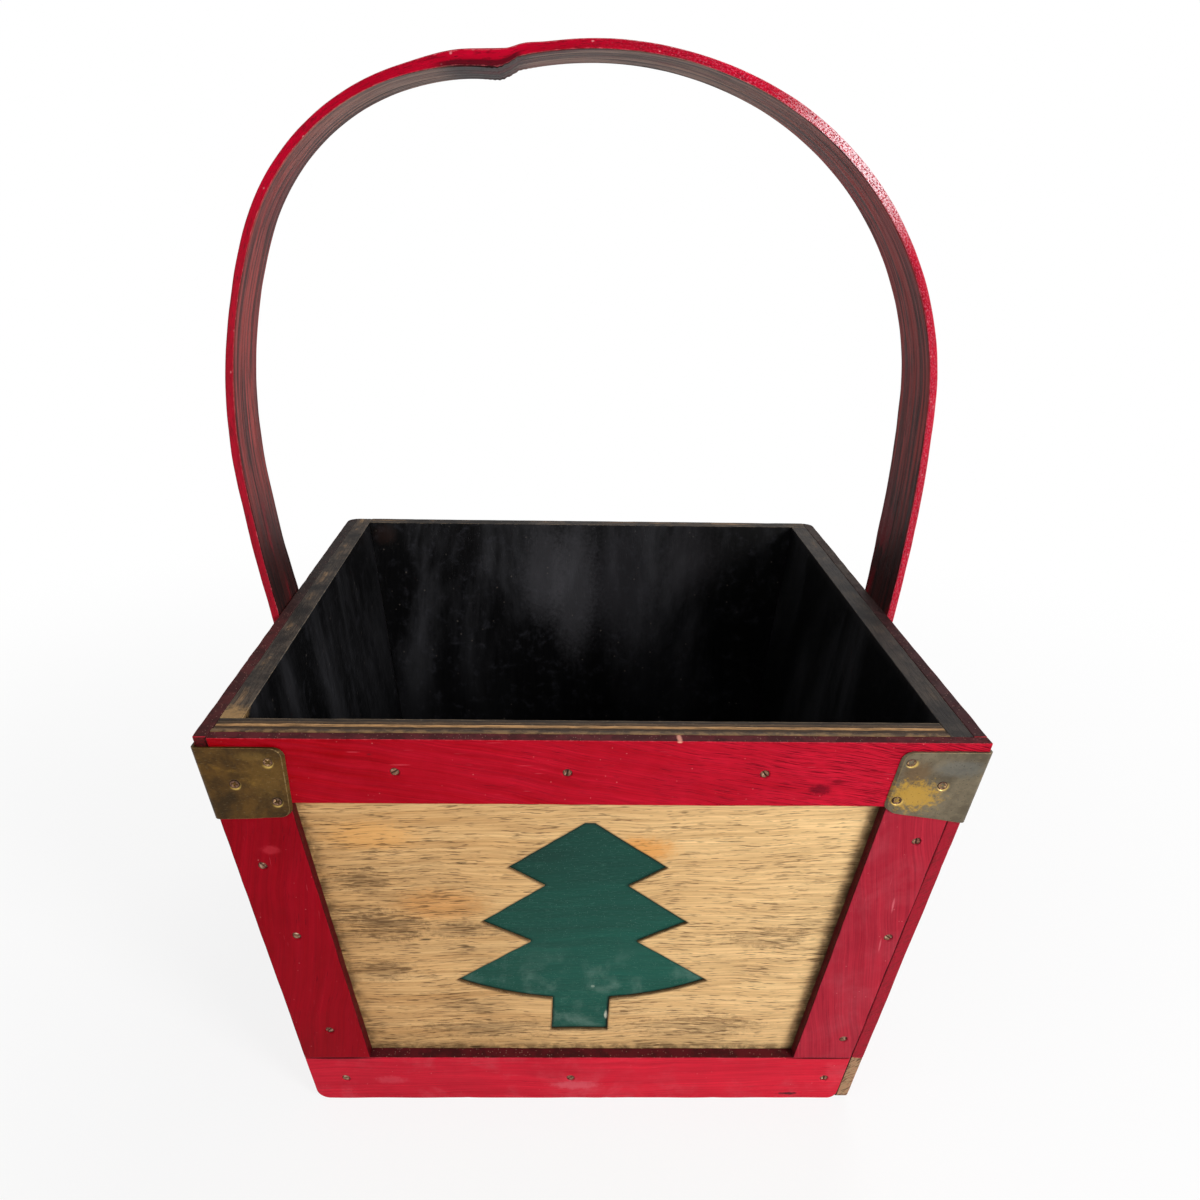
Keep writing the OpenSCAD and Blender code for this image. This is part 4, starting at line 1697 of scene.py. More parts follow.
@dataclass(frozen=True)
class Mark:
    """A soft-edged mark at one place of a wall, its sizes in millimetres."""

    along: float
    down: float
    wide: float
    tall: float
    colour: Steps = (0, 0, 0)
    strength: float = 0.8
    rough: float = 0.7

    def mask(self, surface: Surface) -> Value:
        """Where the mark is, by the wall's coordinates and at any depth."""
        return surface.effect("spot", Place=surface.place, Centre=(self.along * MM, self.down * MM, 0.0),
                              Reach=(self.wide * MM, self.tall * MM, 0.05), Rough=self.rough)["Mask"]


@dataclass(frozen=True)
class RedStain:
    """Crimson stain on an open-pored wood strip.

    Pairs are for the left end of the wall and the right one. The far ledge is the left half
    of a strip's upper edge, and like the ledge where it isn't given. The tones make the
    stain lighter towards the right end of the wall, which is painted light, as if lit from the right.
    """

    name: str = ""
    deep: Steps = (160, 0, 20)
    bright: Steps = (206, 26, 52)
    pores: Steps = (92, 2, 20)
    ledge: Steps = (78, 30, 34)
    far_ledge: Steps | None = None
    ends: Steps = (104, 34, 34)
    streaky: float = 0.3
    fibre: float = 0.25
    haze: float = 0.06
    upright: bool = False
    slant: float = -0.06
    pore_share: Pair = (0.4, 0.4)
    tones: Pair = (0.0, 1.0)
    wash: float = 0.0
    wear: float = 0.42
    shift: float = 0.0
    marks: tuple[Mark, ...] = ()

    def make(self) -> bpy.types.Material:
        """Build the material.

        Returns:
            Stain whose colour follows the grain, lighter towards the right end of the wall as
            painted light, darker in the pores, on ledges and at the marks, and lighter at the
            arrises, partly from wear and partly as a painted highlight.
        """
        surface = Surface(self.name)
        place, x, y, z = surface.place, surface.along, surface.down, surface.depth
        own = surface.vector(y, x, z) if self.upright else place
        own = own.mapped(shift=(self.shift, self.shift * 0.7, self.shift * 1.3))
        crowd = x.span(-0.13, 0.15, *self.pore_share, smooth=False)
        grain = surface.grain(own, self.slant, 260.0, 2200.0, crowd, 0.04)
        # Painted light: the stain grows lighter towards the right end of the wall, standing in for light that
        # falls from the right.
        painted_light_sweep = x.span(-0.15, 0.15, *self.tones, smooth=False)
        cloud = surface.blotches(34.0, 0.3, 0.72, own)
        tone = (grain["Tone"] * 0.4 + cloud * 0.2 + painted_light_sweep * 0.55).capped()
        surface.colour = tone.blend(self.deep, self.bright)
        surface.lay(grain["Fibre"], self.fibre, self.pores)
        surface.lay(grain["Pores"], 0.75, self.pores)
        surface.lay(surface.blotches(40.0, 0.46, 0.8, own), self.wash, (206, 116, 128))
        surface.lay(surface.specks(900.0, 0.02, own), 0.3, (232, 150, 150))
        scratch = own.mapped((0.05, 1, 1), (0.7, 0, 0)).noise(1300.0, 2.0)
        surface.lay(scratch.span(0.7, 0.76), 0.3, (222, 96, 110))

        limits = (0.5, 0.8) if self.upright else (0.72, 0.95)
        ledge = abs(surface.facing[1]).span(*limits).most(surface.facing[2].span(0.05, 0.3))
        grimy = x.span(-0.03, 0.05).blend(self.far_ledge or self.ledge, self.ledge)
        grimy = (surface.blotches(120.0, 0.42, 0.6) * 0.55).blend(grimy, (38, 22, 22))
        grimy = (surface.specks(1100.0, 0.24) * 0.6).blend(grimy, (172, 132, 116))
        surface.colour = ledge.blend(surface.colour, grimy)

        limits = (0.35, 0.7) if self.upright else (0.7, 0.92)
        end = abs(surface.facing[0]).span(*limits)
        surface.lay(end * place.noise(900.0, 4.0, 0.7).span(0.3, 0.7, 1.0, 0.75), 1.0, self.ends)
        lines = surface.vector(x, y - z, (y + z) * 0.2).noise(800.0, 3.0).span(0.5, 0.62)
        surface.lay(end * lines, self.streaky, (58, 34, 28))
        hidden = end.most(surface.facing[2].span(0.02, 0.2))
        # Lighter pink arrises, partly wear and partly a painted highlight.
        surface.lay(surface.worn(0.0008, self.wear) * (1.0 - hidden), 0.6, (206, 74, 84))
        surface.lay_marks(self.marks)
        rough = grain["Pores"] * 0.2 + cloud.between(0.34, 0.5) + ledge * 0.2
        return surface.finish(rough, cloud * 0.25 + grain["Height"], Gloss(specular=self.haze))


@dataclass(frozen=True)
class BlackPly:
    """Plywood painted semi-gloss black inside, with its worn layers bare at the rim."""

    name: str
    start: float
    thick: float
    bare: float = 0.6
    marks: tuple[Mark, ...] = ()
    shift: float = 0.0
    dust_and_sheen: float = 0.5

    def make(self) -> bpy.types.Material:
        """Build the material.

        Returns:
            Black paint with grey patches that run down the wall, partly dusty residue and partly a painted
            sheen of light from above, and layers at the rim.
        """
        surface = Surface(self.name)
        y, z = surface.down, surface.depth
        own = surface.place.mapped(shift=(self.shift, self.shift, 0.0))
        rim = surface.effect("ply_layers", Share=(z - self.start) / self.thick, Place=own, Bare=self.bare)
        cloud = surface.blotches(17.0, 0.42, 0.8, own.mapped((1, 0.3, 1)))
        fine = surface.grain(surface.vector(y, surface.along, z), 0.0, 160.0, 1500.0, 0.35)
        # Grey patches that grow towards the rim: partly dusty residue, partly a painted sheen of light from
        # above on the semi-gloss paint.
        surface.colour = (cloud * y.span(0.03, 0.15, self.dust_and_sheen, 0.1)).blend((6, 6, 7), (70, 70, 74))
        surface.lay(surface.blotches(150.0, 0.5, 0.8, own), 0.4 * self.dust_and_sheen, (60, 60, 66))
        surface.lay(fine["Fibre"], 0.06, (50, 48, 48))
        surface.lay(surface.specks(420.0, 0.03, own), 0.3, (120, 112, 104))
        top = (-surface.facing[1]).span(0.55, 0.85)
        surface.colour = top.blend(surface.colour, rim["Color"])
        surface.lay(surface.worn(0.0009, 0.5) * y.span(0.0, 0.01, 0.5, 0.12), 1.0, (132, 114, 92))
        clean = surface.colour
        surface.lay_marks(self.marks)
        surface.colour = surface.facing[2].span(-0.9, -0.5).blend(clean, surface.colour)
        rough = top.between(cloud.between(0.28, 0.42), 0.66)
        height = top.between(cloud * 0.6 + fine["Height"], rim["Height"])
        return surface.finish(rough, height, Gloss(0.3, 0.3 * MM, 0.16))


@dataclass(frozen=True)
class NaturalSheet:
    """Clear-finished tan plywood, greyed by weather and darkened at its edges.

    The sheet's visible half width is half, less the taper times the distance down. A
    smudge gives along, down, width, height and strength.
    """

    name: str = "natural_sheet"
    half: float = 0.1525
    taper: float = 0.138
    foot: float = 0.178
    marks: tuple[Mark, ...] = (
        Mark(20, 58.6, 20, 9, (216, 146, 68), 0.75), Mark(-63, 89, 26, 12, (208, 140, 70), 0.5),
        Mark(-90, 52, 26, 10, (222, 160, 86), 0.5), Mark(77, 137, 16, 4, (230, 196, 140), 0.6))
    smudges: tuple[tuple[float, ...], ...] = (
        (-87, 101, 27, 13, 0.85), (-94, 76, 22, 11, 0.7), (-54, 104, 22, 7, 0.75), (-92, 128, 20, 9, 0.6),
        (-45, 165, 42, 9, 0.6), (50, 163, 44, 10, 0.55), (78, 108, 24, 9, 0.5))

    def make(self) -> bpy.types.Material:
        """Build the material.

        Returns:
            Level grain with dark pore dashes, smudges, a dark cut edge, a dark band along
            the frame that is partly grime and partly painted shade, and a painted shadow along
            the right stile.
        """
        surface = Surface(self.name)
        place, x, y = surface.place, surface.along, surface.down
        weather = surface.blotches(27.0, 0.44, 0.68, place.mapped((0.5, 1.25, 1)))
        weather = weather * (x.span(-0.12, 0.03, 1.0, 0.4) * y.span(0.045, 0.17, 0.5, 1.0))
        for *area, strength in self.smudges:
            weather = weather.most(Mark(*area, rough=1.4).mask(surface) * strength)
        grain = surface.grain(place.mapped(shift=(0.3, 0.1, 0.0)), 0.03, 170.0, 1750.0,
                              weather * 0.45 + 0.5, 0.075)
        tone = (grain["Tone"] * 0.45 + x.span(-0.12, 0.11, 0.0, 0.6, smooth=False)).capped()
        surface.colour = tone.blend((194, 146, 90), (248, 212, 154))
        surface.lay(grain["Fibre"], 0.5, (150, 108, 62))
        surface.lay_marks(self.marks)
        streak = place.mapped((0.09, 1, 1), (0.9, 0, 0)).noise(620.0, 5.0, 0.7)
        surface.lay(weather * streak.span(0.4, 0.56, 0.1, 1.0), 0.72, (92, 72, 50))
        surface.lay(grain["Pores"], 0.72, (84, 58, 34))
        crack = place.mapped((0.07, 1, 1), (0.4, 0.6, 0)).noise(900.0, 2.0, 0.5)
        surface.lay(crack.span(0.68, 0.72), 0.8, (48, 34, 24))

        aside = y * -self.taper + self.half - abs(x + 0.0013)
        foot = (self.foot - y).fade(0.0, 0.006)
        # A dark band along both stiles and the bottom rail, partly grime and partly painted shade where the
        # sheet lies below the strips.
        grime = aside.fade(0.0305, 0.0365).most(foot) * surface.blotches(170.0, 0.36, 0.6)
        surface.lay(grime, 0.7, (74, 54, 36))
        # Painted shadow of the right stile along the sheet's right edge.
        surface.lay(aside.fade(0.0308, 0.0345) * x.span(0.0, 0.05), 0.7, (56, 38, 22))
        kerf = surface.field("kerf")
        surface.lay(kerf.fade(0.0, 0.001), 0.7, (84, 58, 38))
        surface.lay(kerf.fade(0.0, 0.0015) * surface.specks(1300.0, 0.3), 0.6, (206, 176, 140))
        surface.lay((-surface.facing[2]).fade(0.3, 0.7), 1.0, (74, 52, 36))
        rim = y.fade(0.0, 0.004)
        surface.lay(rim, 1.0, (66, 48, 34))
        surface.lay(rim * surface.blotches(210.0, 0.42, 0.6), 0.8, (150, 118, 78))
        rough = weather * 0.2 + grain["Tone"].between(0.48, 0.4)
        return surface.finish(rough, weather * -0.4 + grain["Height"], Gloss())


@dataclass(frozen=True)
class GreenStain:
    """Deep green paint over level grain."""

    name: str = "green_board"
    marks: tuple[Mark, ...] = (Mark(2.7, 138.8, 1.1, 1.0, (150, 170, 154), 0.6, 1.3),
                               Mark(9.0, 156.8, 1.2, 3.6, (206, 208, 190), 0.8, 1.3))

    def make(self) -> bpy.types.Material:
        """Build the material.

        Returns:
            Green that follows the grain, with painted shade along its border, a pale haze and small chips.
        """
        surface = Surface(self.name)
        x, y = surface.along, surface.down
        grain = surface.grain(surface.place, 0.03, 240.0, 2600.0, 0.45)
        light = x.span(-0.05, 0.05, 0.0, 0.3) + y.span(0.05, 0.14, 0.0, 0.45)
        surface.colour = (grain["Tone"] * 0.4 + light).capped().blend((18, 50, 43), (28, 86, 73))
        surface.lay(grain["Fibre"], 0.3, (8, 46, 38))
        surface.lay(grain["Pores"], 0.3, (62, 112, 98))
        surface.lay(surface.specks(1500.0, 0.16), 0.45, (104, 140, 128))
        surface.lay(surface.blotches(60.0, 0.45, 0.7) * y.span(0.11, 0.14), 0.22, (150, 176, 164))
        # Painted shade along the border, where the tree lies below the sheet's cut edge.
        surface.lay(surface.field("kerf").fade(0.0, 0.0016), 0.65, (16, 34, 26))
        surface.lay_marks(self.marks)
        return surface.finish(grain["Tone"].between(0.46, 0.58), grain["Height"], Gloss())


@dataclass(frozen=True)
class TarnishedBrass:
    """Old brass plate: brown and grey tarnish, with bare gold where it is rubbed."""

    name: str
    dull: Steps
    dark: Steps
    golden: float = 0.0
    marks: tuple[Mark, ...] = ()

    def make(self) -> bpy.types.Material:
        """Build the material.

        Returns:
            Metal with blotched tarnish, rubbed edges, scratches, pits, and bright crescents
            at the screws that are painted highlights.
        """
        surface = Surface(self.name)
        place = surface.place
        large = surface.blotches(55.0, 0.36, 0.66)
        small = surface.blotches(260.0, 0.4, 0.66, place.mapped(shift=(0.2, 0, 0)))
        surface.colour = large.blend(self.dull, self.dark)
        surface.lay(small, 0.4, self.dark)
        surface.lay_marks(self.marks)
        rubbed = surface.blotches(75.0, 0.62 - 0.2 * self.golden, 0.8 - 0.12 * self.golden,
                                  place.mapped(shift=(0.5, 0.1, 0)))
        surface.lay(rubbed, 0.35, (186, 140, 52))
        # Painted highlights: bright crescents at the lower right of the rings round the screws.
        surface.lay(surface.field("highlight_crescent"), 0.8, (244, 204, 112))
        surface.lay(surface.worn(0.0005, 0.6), 0.4, (166, 142, 96))
        pits = surface.specks(1000.0, 0.3)
        surface.lay(pits, 0.5, (40, 30, 20))
        scratch = place.mapped((0.15, 1, 1)).noise(2600.0, 2.0).span(0.62, 0.74)
        surface.lay(scratch, 0.25, (170, 148, 104))
        height = small * 0.3 - (pits * 0.8 + scratch * 0.3)
        rough = small * 0.12 + large.between(0.38, 0.5)
        return surface.finish(rough, height, Gloss(0.3, 0.2 * MM, 0.2, 0.42))


@dataclass(frozen=True)
class ScrewMetal:
    """Steel screws, browned with age, with painted glints, and painted shade round each head's rim and in its
    recess.
    """

    name: str
    body: Steps = (146, 72, 56)
    rust: Steps = (102, 42, 34)
    painted_glint: Steps = (200, 130, 100)
    rim: Steps = (66, 18, 20)
    shade_ring_width: float = 0.2
    metal: float = 0.0

    def make(self) -> bpy.types.Material:
        """Build the material.

        Returns:
            Metal with rust patches that differ from head to head, painted glints, and painted shade round the
            rim and in the recess.
        """
        surface = Surface(self.name)
        patch = surface.blotches(700.0, 0.38, 0.62)
        amount = patch * surface.field("chance").span(0.0, 1.0, 0.4, 1.0)
        surface.colour = amount.blend(self.body, self.rust)
        other = surface.place.mapped(shift=(0.3, 0, 0))
        # Painted glints on the heads.
        surface.lay(surface.blotches(620.0, 0.52, 0.66, other), 0.75, self.painted_glint)
        # Painted shade: a dark ring round the rim of each head, and dark recesses.
        surface.lay(surface.edge.fade(0.0, self.shade_ring_width), 0.9, self.rim)
        surface.lay(surface.depth.fade(-0.0006, -0.0002), 0.9, (30, 22, 20))
        return surface.finish(patch.between(0.36, 0.6), patch, Gloss(0.3, 0.1 * MM, 0.1, self.metal))


@dataclass(frozen=True)
class HandleStain:
    """Crimson stain on the bent strap: bright on its edges, thin and brown on its inner face."""

    name: str = "handle_stain"
    bright: Steps = (192, 4, 42)
    deep: Steps = (150, 0, 26)
    soot: Steps = (22, 16, 16)

    def outer(self, surface: Surface, past: Value) -> tuple[Value, Value]:
        """Lay the stain of the outer face and the edges, with a painted highlight on the right of the crown.

        Args:
            surface: The material under work.
            past: Distance past the dent.

        Returns:
            The grain's tone, and the height of the relief.
        """
        place, across = surface.place, surface.facing[1]
        grain = surface.grain(place, 0.0, 300.0, 2200.0, 0.6)
        surface.colour = grain["Tone"].blend(self.deep, self.bright)
        surface.lay(grain["Pores"], 0.55, (92, 2, 20))
        fine = place.mapped((0.7, 1, 1)).noise(1500.0, 4.0, 0.7)
        # Pale pink specks over the right shoulder, partly dusty and partly painted glints.
        dust_and_glints = past.span(0.02, 0.12) * past.fade(0.2, 0.33)
        surface.lay(fine.span(0.5, 0.62) * dust_and_glints, 0.6, (222, 96, 122))
        # Painted highlight: near-white specks on the right of the crown, strongest on the front edge.
        painted_highlight = abs(past - 0.165).fade(0.005, 0.052) * across.span(-0.7, -0.3, 1.0, 0.2)
        surface.lay(fine.span(0.44, 0.54) * painted_highlight, 0.9, (255, 226, 232))
        specks = surface.specks(700.0, 0.06, place.mapped((0.6, 1, 1)))
        surface.lay(specks, 0.5, (236, 160, 164))
        surface.lay(surface.worn(0.0012, 0.5) * across.span(-0.5, -0.8), 0.4, (226, 128, 138))
        surface.lay(past.span(-0.1, -0.2), 0.3, (112, 40, 44))
        surface.lay(fine.span(0.46, 0.6) * past.span(0.2, 0.3), 0.35, (206, 120, 134))
        folded = past.span(-0.036, -0.026) * past.fade(0.002, 0.007) * surface.depth.fade(0.0013, 0.0019)
        surface.lay(folded, 0.85, (66, 8, 20))
        return grain["Tone"], specks * 0.5 + grain["Height"]

    def inner(self, surface: Surface, past: Value) -> None:
        """Lay the thin stain of the inner face, with sooty streaks that grow towards the ends.

        Args:
            surface: The material under work.
            past: Distance past the dent.
        """
        place = surface.place
        streak = place.mapped((0.03, 1, 1)).noise(210.0, 6.0, 0.72)
        wood = past.span(0.05, 0.2).blend((158, 62, 58), (160, 56, 54))
        wood = abs(past - 0.02).fade(0.06, 0.16).blend(wood, (160, 124, 108))
        surface.colour = streak.span(0.4, 0.56, 0.85, 0.0).blend(wood, (52, 20, 22))
        lines = place.mapped((0.05, 1, 1), (0.1, 0, 0)).noise(300.0, 5.0, 0.7)
        surface.lay(lines.span(0.5, 0.58), 0.8, self.soot)
        surface.lay(abs(past + 0.012).fade(0.008, 0.024), 0.95, (36, 10, 14))
        low = surface.field("end").fade(0.05, 0.115)
        surface.lay(low * streak.span(0.3, 0.6, 0.6, 1.0), 0.95, self.soot)
        patch = surface.blotches(42.0, 0.52, 0.62, place.mapped((0.35, 1, 1)))
        surface.lay(patch * low.between(0.35, 0.8), 1.0, (118, 12, 26))

    def make(self) -> bpy.types.Material:
        """Build the material.

        Returns:
            Stain that follows the strap, with pale specks over its right shoulder that are partly
            dusty and partly painted glints, a painted highlight on the right of the crown, and darker
            towards its ends and at the dent.
        """
        surface = Surface(self.name)
        past = surface.field("dent")
        tone, height = self.outer(surface, past)
        outside = surface.colour
        self.inner(surface, past)
        inside = (-surface.facing[2]).span(0.5, 0.85)
        surface.colour = inside.blend(outside, surface.colour)
        surface.lay(surface.worn(0.0008, 0.45), 0.5, (214, 92, 100))
        return surface.finish(inside * 0.15 + tone.between(0.36, 0.28), height, Gloss(0.4, 0.3 * MM, 0.06))


# Sub-assemblies


def place_piece(piece: bpy.types.Object, node: str, material: bpy.types.Material) -> None:
    """Dress a finished piece and put it in the place of its CAD node.

    Args:
        piece: The piece.
        node: CAD node that it stands for.
        material: Its finish.
    """
    piece.data.materials.append(material)
    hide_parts(node)
    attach(piece, BODY)
    LOG.info("%s stands for %s: %d faces", piece.name, node, len(piece.data.polygons))


@dataclass(frozen=True)
class Panels:
    """The black plywood box: four walls and the floor."""

    carcass: Carcass = Carcass()
    layer_lines: int = 14
    # Grey patches inside the back wall: partly dusty residue, partly painted reflections of light from above.
    dust_and_reflections: tuple[Mark, ...] = (
        Mark(4, 44, 20, 62, (84, 83, 87), 0.34, 0.6), Mark(24, 32, 20, 46, (84, 83, 87), 0.34, 0.6),
        Mark(-30, 40, 34, 60, (58, 57, 61), 0.4, 0.7), Mark(-72, 26, 26, 34, (50, 48, 51), 0.45, 0.8),
        Mark(128, 9, 10, 9, (52, 34, 28), 0.35))
    patch: Mark = Mark(136, 0, 15, 6, (164, 130, 86), 0.85, 1.2)
    dull: Mark = Mark(0, 0, 400, 7, (44, 41, 41), 0.5, 0.2)

    def build(self) -> None:
        """Make and dress the five panels.

        A row gives a panel's wall, outer depth, set-back of both ends, bareness of its
        layers, strength of its grey patches, partly dusty residue and partly painted sheen, and marks.
        """
        box = self.carcass
        inner = box.side_inside
        rows = (("front", Side.FRONT, box.front_ply, (box.strip, inner), 1.05, 0.2, ()),
                ("right", Side.RIGHT, box.strip, (box.strip, box.ply), -0.15, 0.4, (self.dull,)),
                ("back", Side.BACK, 0.0, (box.strip, inner), 0.1, 1.1, self.dust_and_reflections),
                ("left", Side.LEFT, box.strip, (0.0, box.front_inside), 0.0, 0.7, (self.patch,)))
        for number, (word, side, near, (left, right), bare, dust_and_sheen, marks) in enumerate(rows):
            node = word + "_panel"
            board = Board(name=node + "_board", wall=Wall(box, side), depths=(near, near + box.ply),
                          ends=((-1, left), (1, right)), layer_lines=self.layer_lines, arris=0.45 * MM,
                          step=5 * MM, nicks=14, at_back=side in (Side.BACK, Side.LEFT), seed=11 + number)
            finish = BlackPly(node + "_ply", near, box.ply, bare, marks, 0.37 * number, dust_and_sheen)
            place_piece(board.build(), node, finish.make())
        floor = FloorBoard(name="floor_panel_board", carcass=box, arris=0.3 * MM, step=6 * MM, seed=17)
        bare_depth = -100 * MM
        place_piece(floor.build(), "floor_panel",
                    BlackPly("floor_panel_ply", bare_depth, box.ply, shift=2.1).make())


@dataclass(frozen=True)
class FrontPicture:
    """The natural sheet with its cut-out, and the tree in it."""

    carcass: Carcass = Carcass()
    tree: TreeShape = TreeShape()
    spacing: float = 1.1 * MM
    tree_depth: float = 1.0 * MM
    edge_points: int = 60

    def build(self) -> None:
        """Make and dress the sheet and the tree."""
        box = self.carcass
        wall = Wall(box, Side.FRONT)
        sheet = Board(name="frame_of_sheet", wall=wall, depths=(box.strip, box.front_ply),
                      ends=((-1, box.strip), (1, box.side_inside)))
        corners = sheet.corners()[:, :, 0, :2]
        outer = np.array([corners[0, 0], corners[1, 0], corners[1, 1], corners[0, 1]])
        following = np.roll(outer, -1, axis=0)
        share = np.linspace(0, 1, self.edge_points, endpoint=False)[None, :, None]
        outer = (outer[:, None] * (1 - share) + following[:, None] * share).reshape(-1, 2)
        cut = self.tree.outline(self.spacing)
        plate = Plate("face_sheet_plate", wall, outer, cut, (box.strip, box.front_ply), board=sheet)
        place_piece(plate.build(), "face_sheet", NaturalSheet().make())
        tree = Plate("tree_plate", wall, self.tree.outline(self.spacing, self.tree.fit), None,
                     (box.strip + self.tree_depth, box.front_ply), arris=0.2 * MM)
        place_piece(tree.build(), "tree", GreenStain().make())


@dataclass(frozen=True)
class StripWall:
    """A wall of the box, with two rails and two stiles screwed on it.

    Pairs are for the left end and the right one. The rails' screws are shares of the wall's
    width from its middle, and the stiles' are shares of its slope and of a stile's width.
    Stains are by part, and a part without one takes the plain stain. The drift moves each
    strip's grain on by its seed.
    """

    carcass: Carcass
    side: Side
    word: str
    seed: int
    stiles: tuple[str, str]
    top_ends: Pair
    low_ends: Pair
    setbacks: Pair
    stains: dict[str, RedStain]
    plain: RedStain = RedStain()
    widths: Pair = (32 * MM, 32 * MM)
    foot_corners: tuple[tuple[int, int, float], ...] = ()
    rail_shares: tuple[tuple[float, ...], ...] = ((-0.2556, 0.2556), (-0.2556, 0.2556))
    stile_shares: tuple[tuple[Pair, ...], ...] = (((0.3, 0.5), (0.5, 0.5), (0.78, 0.5)),) * 2
    nicks: int = 8
    drift: float = 0.31

    @property
    def wall(self) -> Wall:
        """The wall."""
        return Wall(self.carcass, self.side)

    def screws(self) -> list[list[Pair]]:
        """Places of the screws for the top rail, the bottom rail, the left stile and the right one.

        Returns:
            Along and down of each screw.
        """
        box = self.carcass
        downs = (box.top_rail / 2, box.slope_length - box.bottom_rail / 2)
        rails = [[(2 * share * box.half_down(down), down) for share in shares]
                 for down, shares in zip(downs, self.rail_shares)]
        stiles = [[(sign * (box.half_down(share * box.slope_length) - setback - part * box.stile),
                    share * box.slope_length) for share, part in shares]
                  for sign, setback, shares in zip((-1, 1), self.setbacks, self.stile_shares)]
        return rails + stiles

    def build(self) -> None:
        """Make and dress the strips."""
        box = self.carcass
        left, right = self.setbacks
        rows = (("top_rail", (None, box.top_rail), ((-1, self.top_ends[0]), (1, self.top_ends[1]))),
                ("bottom_rail", (box.stile_downs[1], None), ((-1, self.low_ends[0]), (1, self.low_ends[1]))),
                (self.stiles[0], box.stile_downs, ((-1, left), (-1, left + self.widths[0]))),
                (self.stiles[1], box.stile_downs, ((1, right + self.widths[1]), (1, right))))
        for number, ((part, downs, ends), screws) in enumerate(zip(rows, self.screws())):
            node, seed = f"{self.word}_{part}", self.seed + number
            board = Board(name=node + "_strip", wall=self.wall, depths=(0.0, box.strip), downs=downs,
                          ends=ends, screws=screws, arris=0.55 * MM, nicks=self.nicks, seed=seed,
                          at_back=self.side is not Side.FRONT and part != "front_stile",
                          plan_corners=self.foot_corners if part == "bottom_rail" else ())
            stain = self.stains.get(part, self.plain)
            stain = replace(stain, name=node + "_stain", upright="stile" in part,
                            shift=stain.shift + self.drift * seed)
            place_piece(board.build(), node, stain.make())


def front_strips(box: Carcass) -> StripWall:
    """The front's strips, each with the stain and the marks of its own.

    Args:
        box: Sizes of the box.

    Returns:
        The wall.
    """
    stains = {
        "top_rail": RedStain(
            tones=(-0.42, 0.9), slant=-0.2, pore_share=(0.05, 0.85), fibre=0.36, deep=(152, 0, 8),
            bright=(214, 28, 56), ledge=(92, 38, 42), haze=0.04, wear=0.5,
            marks=(Mark(88.6, 22.7, 6, 3.4, (88, 4, 22), 0.75, 1.2),
                   Mark(95.1, 18.8, 3, 2, (120, 8, 26), 0.6, 1.2),
                   Mark(32.3, 0.3, 1.3, 0.7, (226, 156, 136), 0.9, 0.5),
                   Mark(-74.5, 11.9, 5, 0.5, (206, 64, 78), 0.5),
                   Mark(-92, 6, 3.5, 0.4, (206, 64, 78), 0.5), Mark(-86, 7, 1.2, 0.6, (110, 20, 30), 0.7))),
        "bottom_rail": RedStain(
            shift=0.7, tones=(0.2, 0.72), slant=0.02, wash=0.24, pore_share=(0.2, 0.2), deep=(166, 8, 34),
            bright=(226, 40, 62), ledge=(88, 26, 32),
            marks=(Mark(95.8, 202.6, 6, 1.3, (56, 26, 30), 0.9, 1.6),
                   Mark(-113, 178.2, 24, 0.8, (44, 8, 14), 0.85, 0.3),
                   Mark(109, 178.2, 22, 0.8, (44, 8, 14), 0.85, 0.3),
                   Mark(-4.5, 196.6, 14, 3.5, (214, 104, 116), 0.4, 1.4),
                   Mark(-90, 193, 9, 3.5, (206, 84, 98), 0.3, 1.4))),
        # The front stiles' dark ends colours darken their inner side faces, partly as grime and partly as
        # painted shade.
        "left_stile": RedStain(
            shift=1.3, tones=(0.1, 0.3), slant=0.14, deep=(122, 0, 8), bright=(172, 12, 34),
            pore_share=(0.25, 0.25), ends=(66, 8, 16), ledge=(50, 10, 16), haze=0.04,
            marks=(Mark(-129, 54.6, 5, 3, (190, 50, 62), 0.4, 1.2),)),
        "right_stile": RedStain(
            shift=2.2, tones=(0.4, 0.5), slant=-0.14, pore_share=(0.15, 0.15), deep=(138, 14, 34),
            bright=(190, 44, 62), pores=(98, 8, 28), wash=0.14, fibre=0.45, ends=(52, 8, 14),
            ledge=(50, 10, 16),
            marks=(Mark(127, 83, 0.6, 5, (212, 104, 114), 0.6),
                   Mark(125, 106, 0.5, 5, (212, 104, 114), 0.5))),
    }
    return StripWall(
        box, Side.FRONT, "front", 21, ("left_stile", "right_stile"), (box.strip, 0.0), (0.0, box.strip),
        (0.0, box.strip), stains, widths=(29.5 * MM, 26.6 * MM),
        foot_corners=((0, 1, 5.5 * MM), (1, 1, 4 * MM)),
        rail_shares=((-0.2556, -0.0345, 0.2201), (-0.4384, -0.0266, 0.4432)),
        stile_shares=(((0.307, 0.33), (0.495, 0.46), (0.776, 0.48)),
                      ((0.237, 0.29), (0.495, 0.16), (0.803, 0.22))),
        nicks=10, drift=0.0)


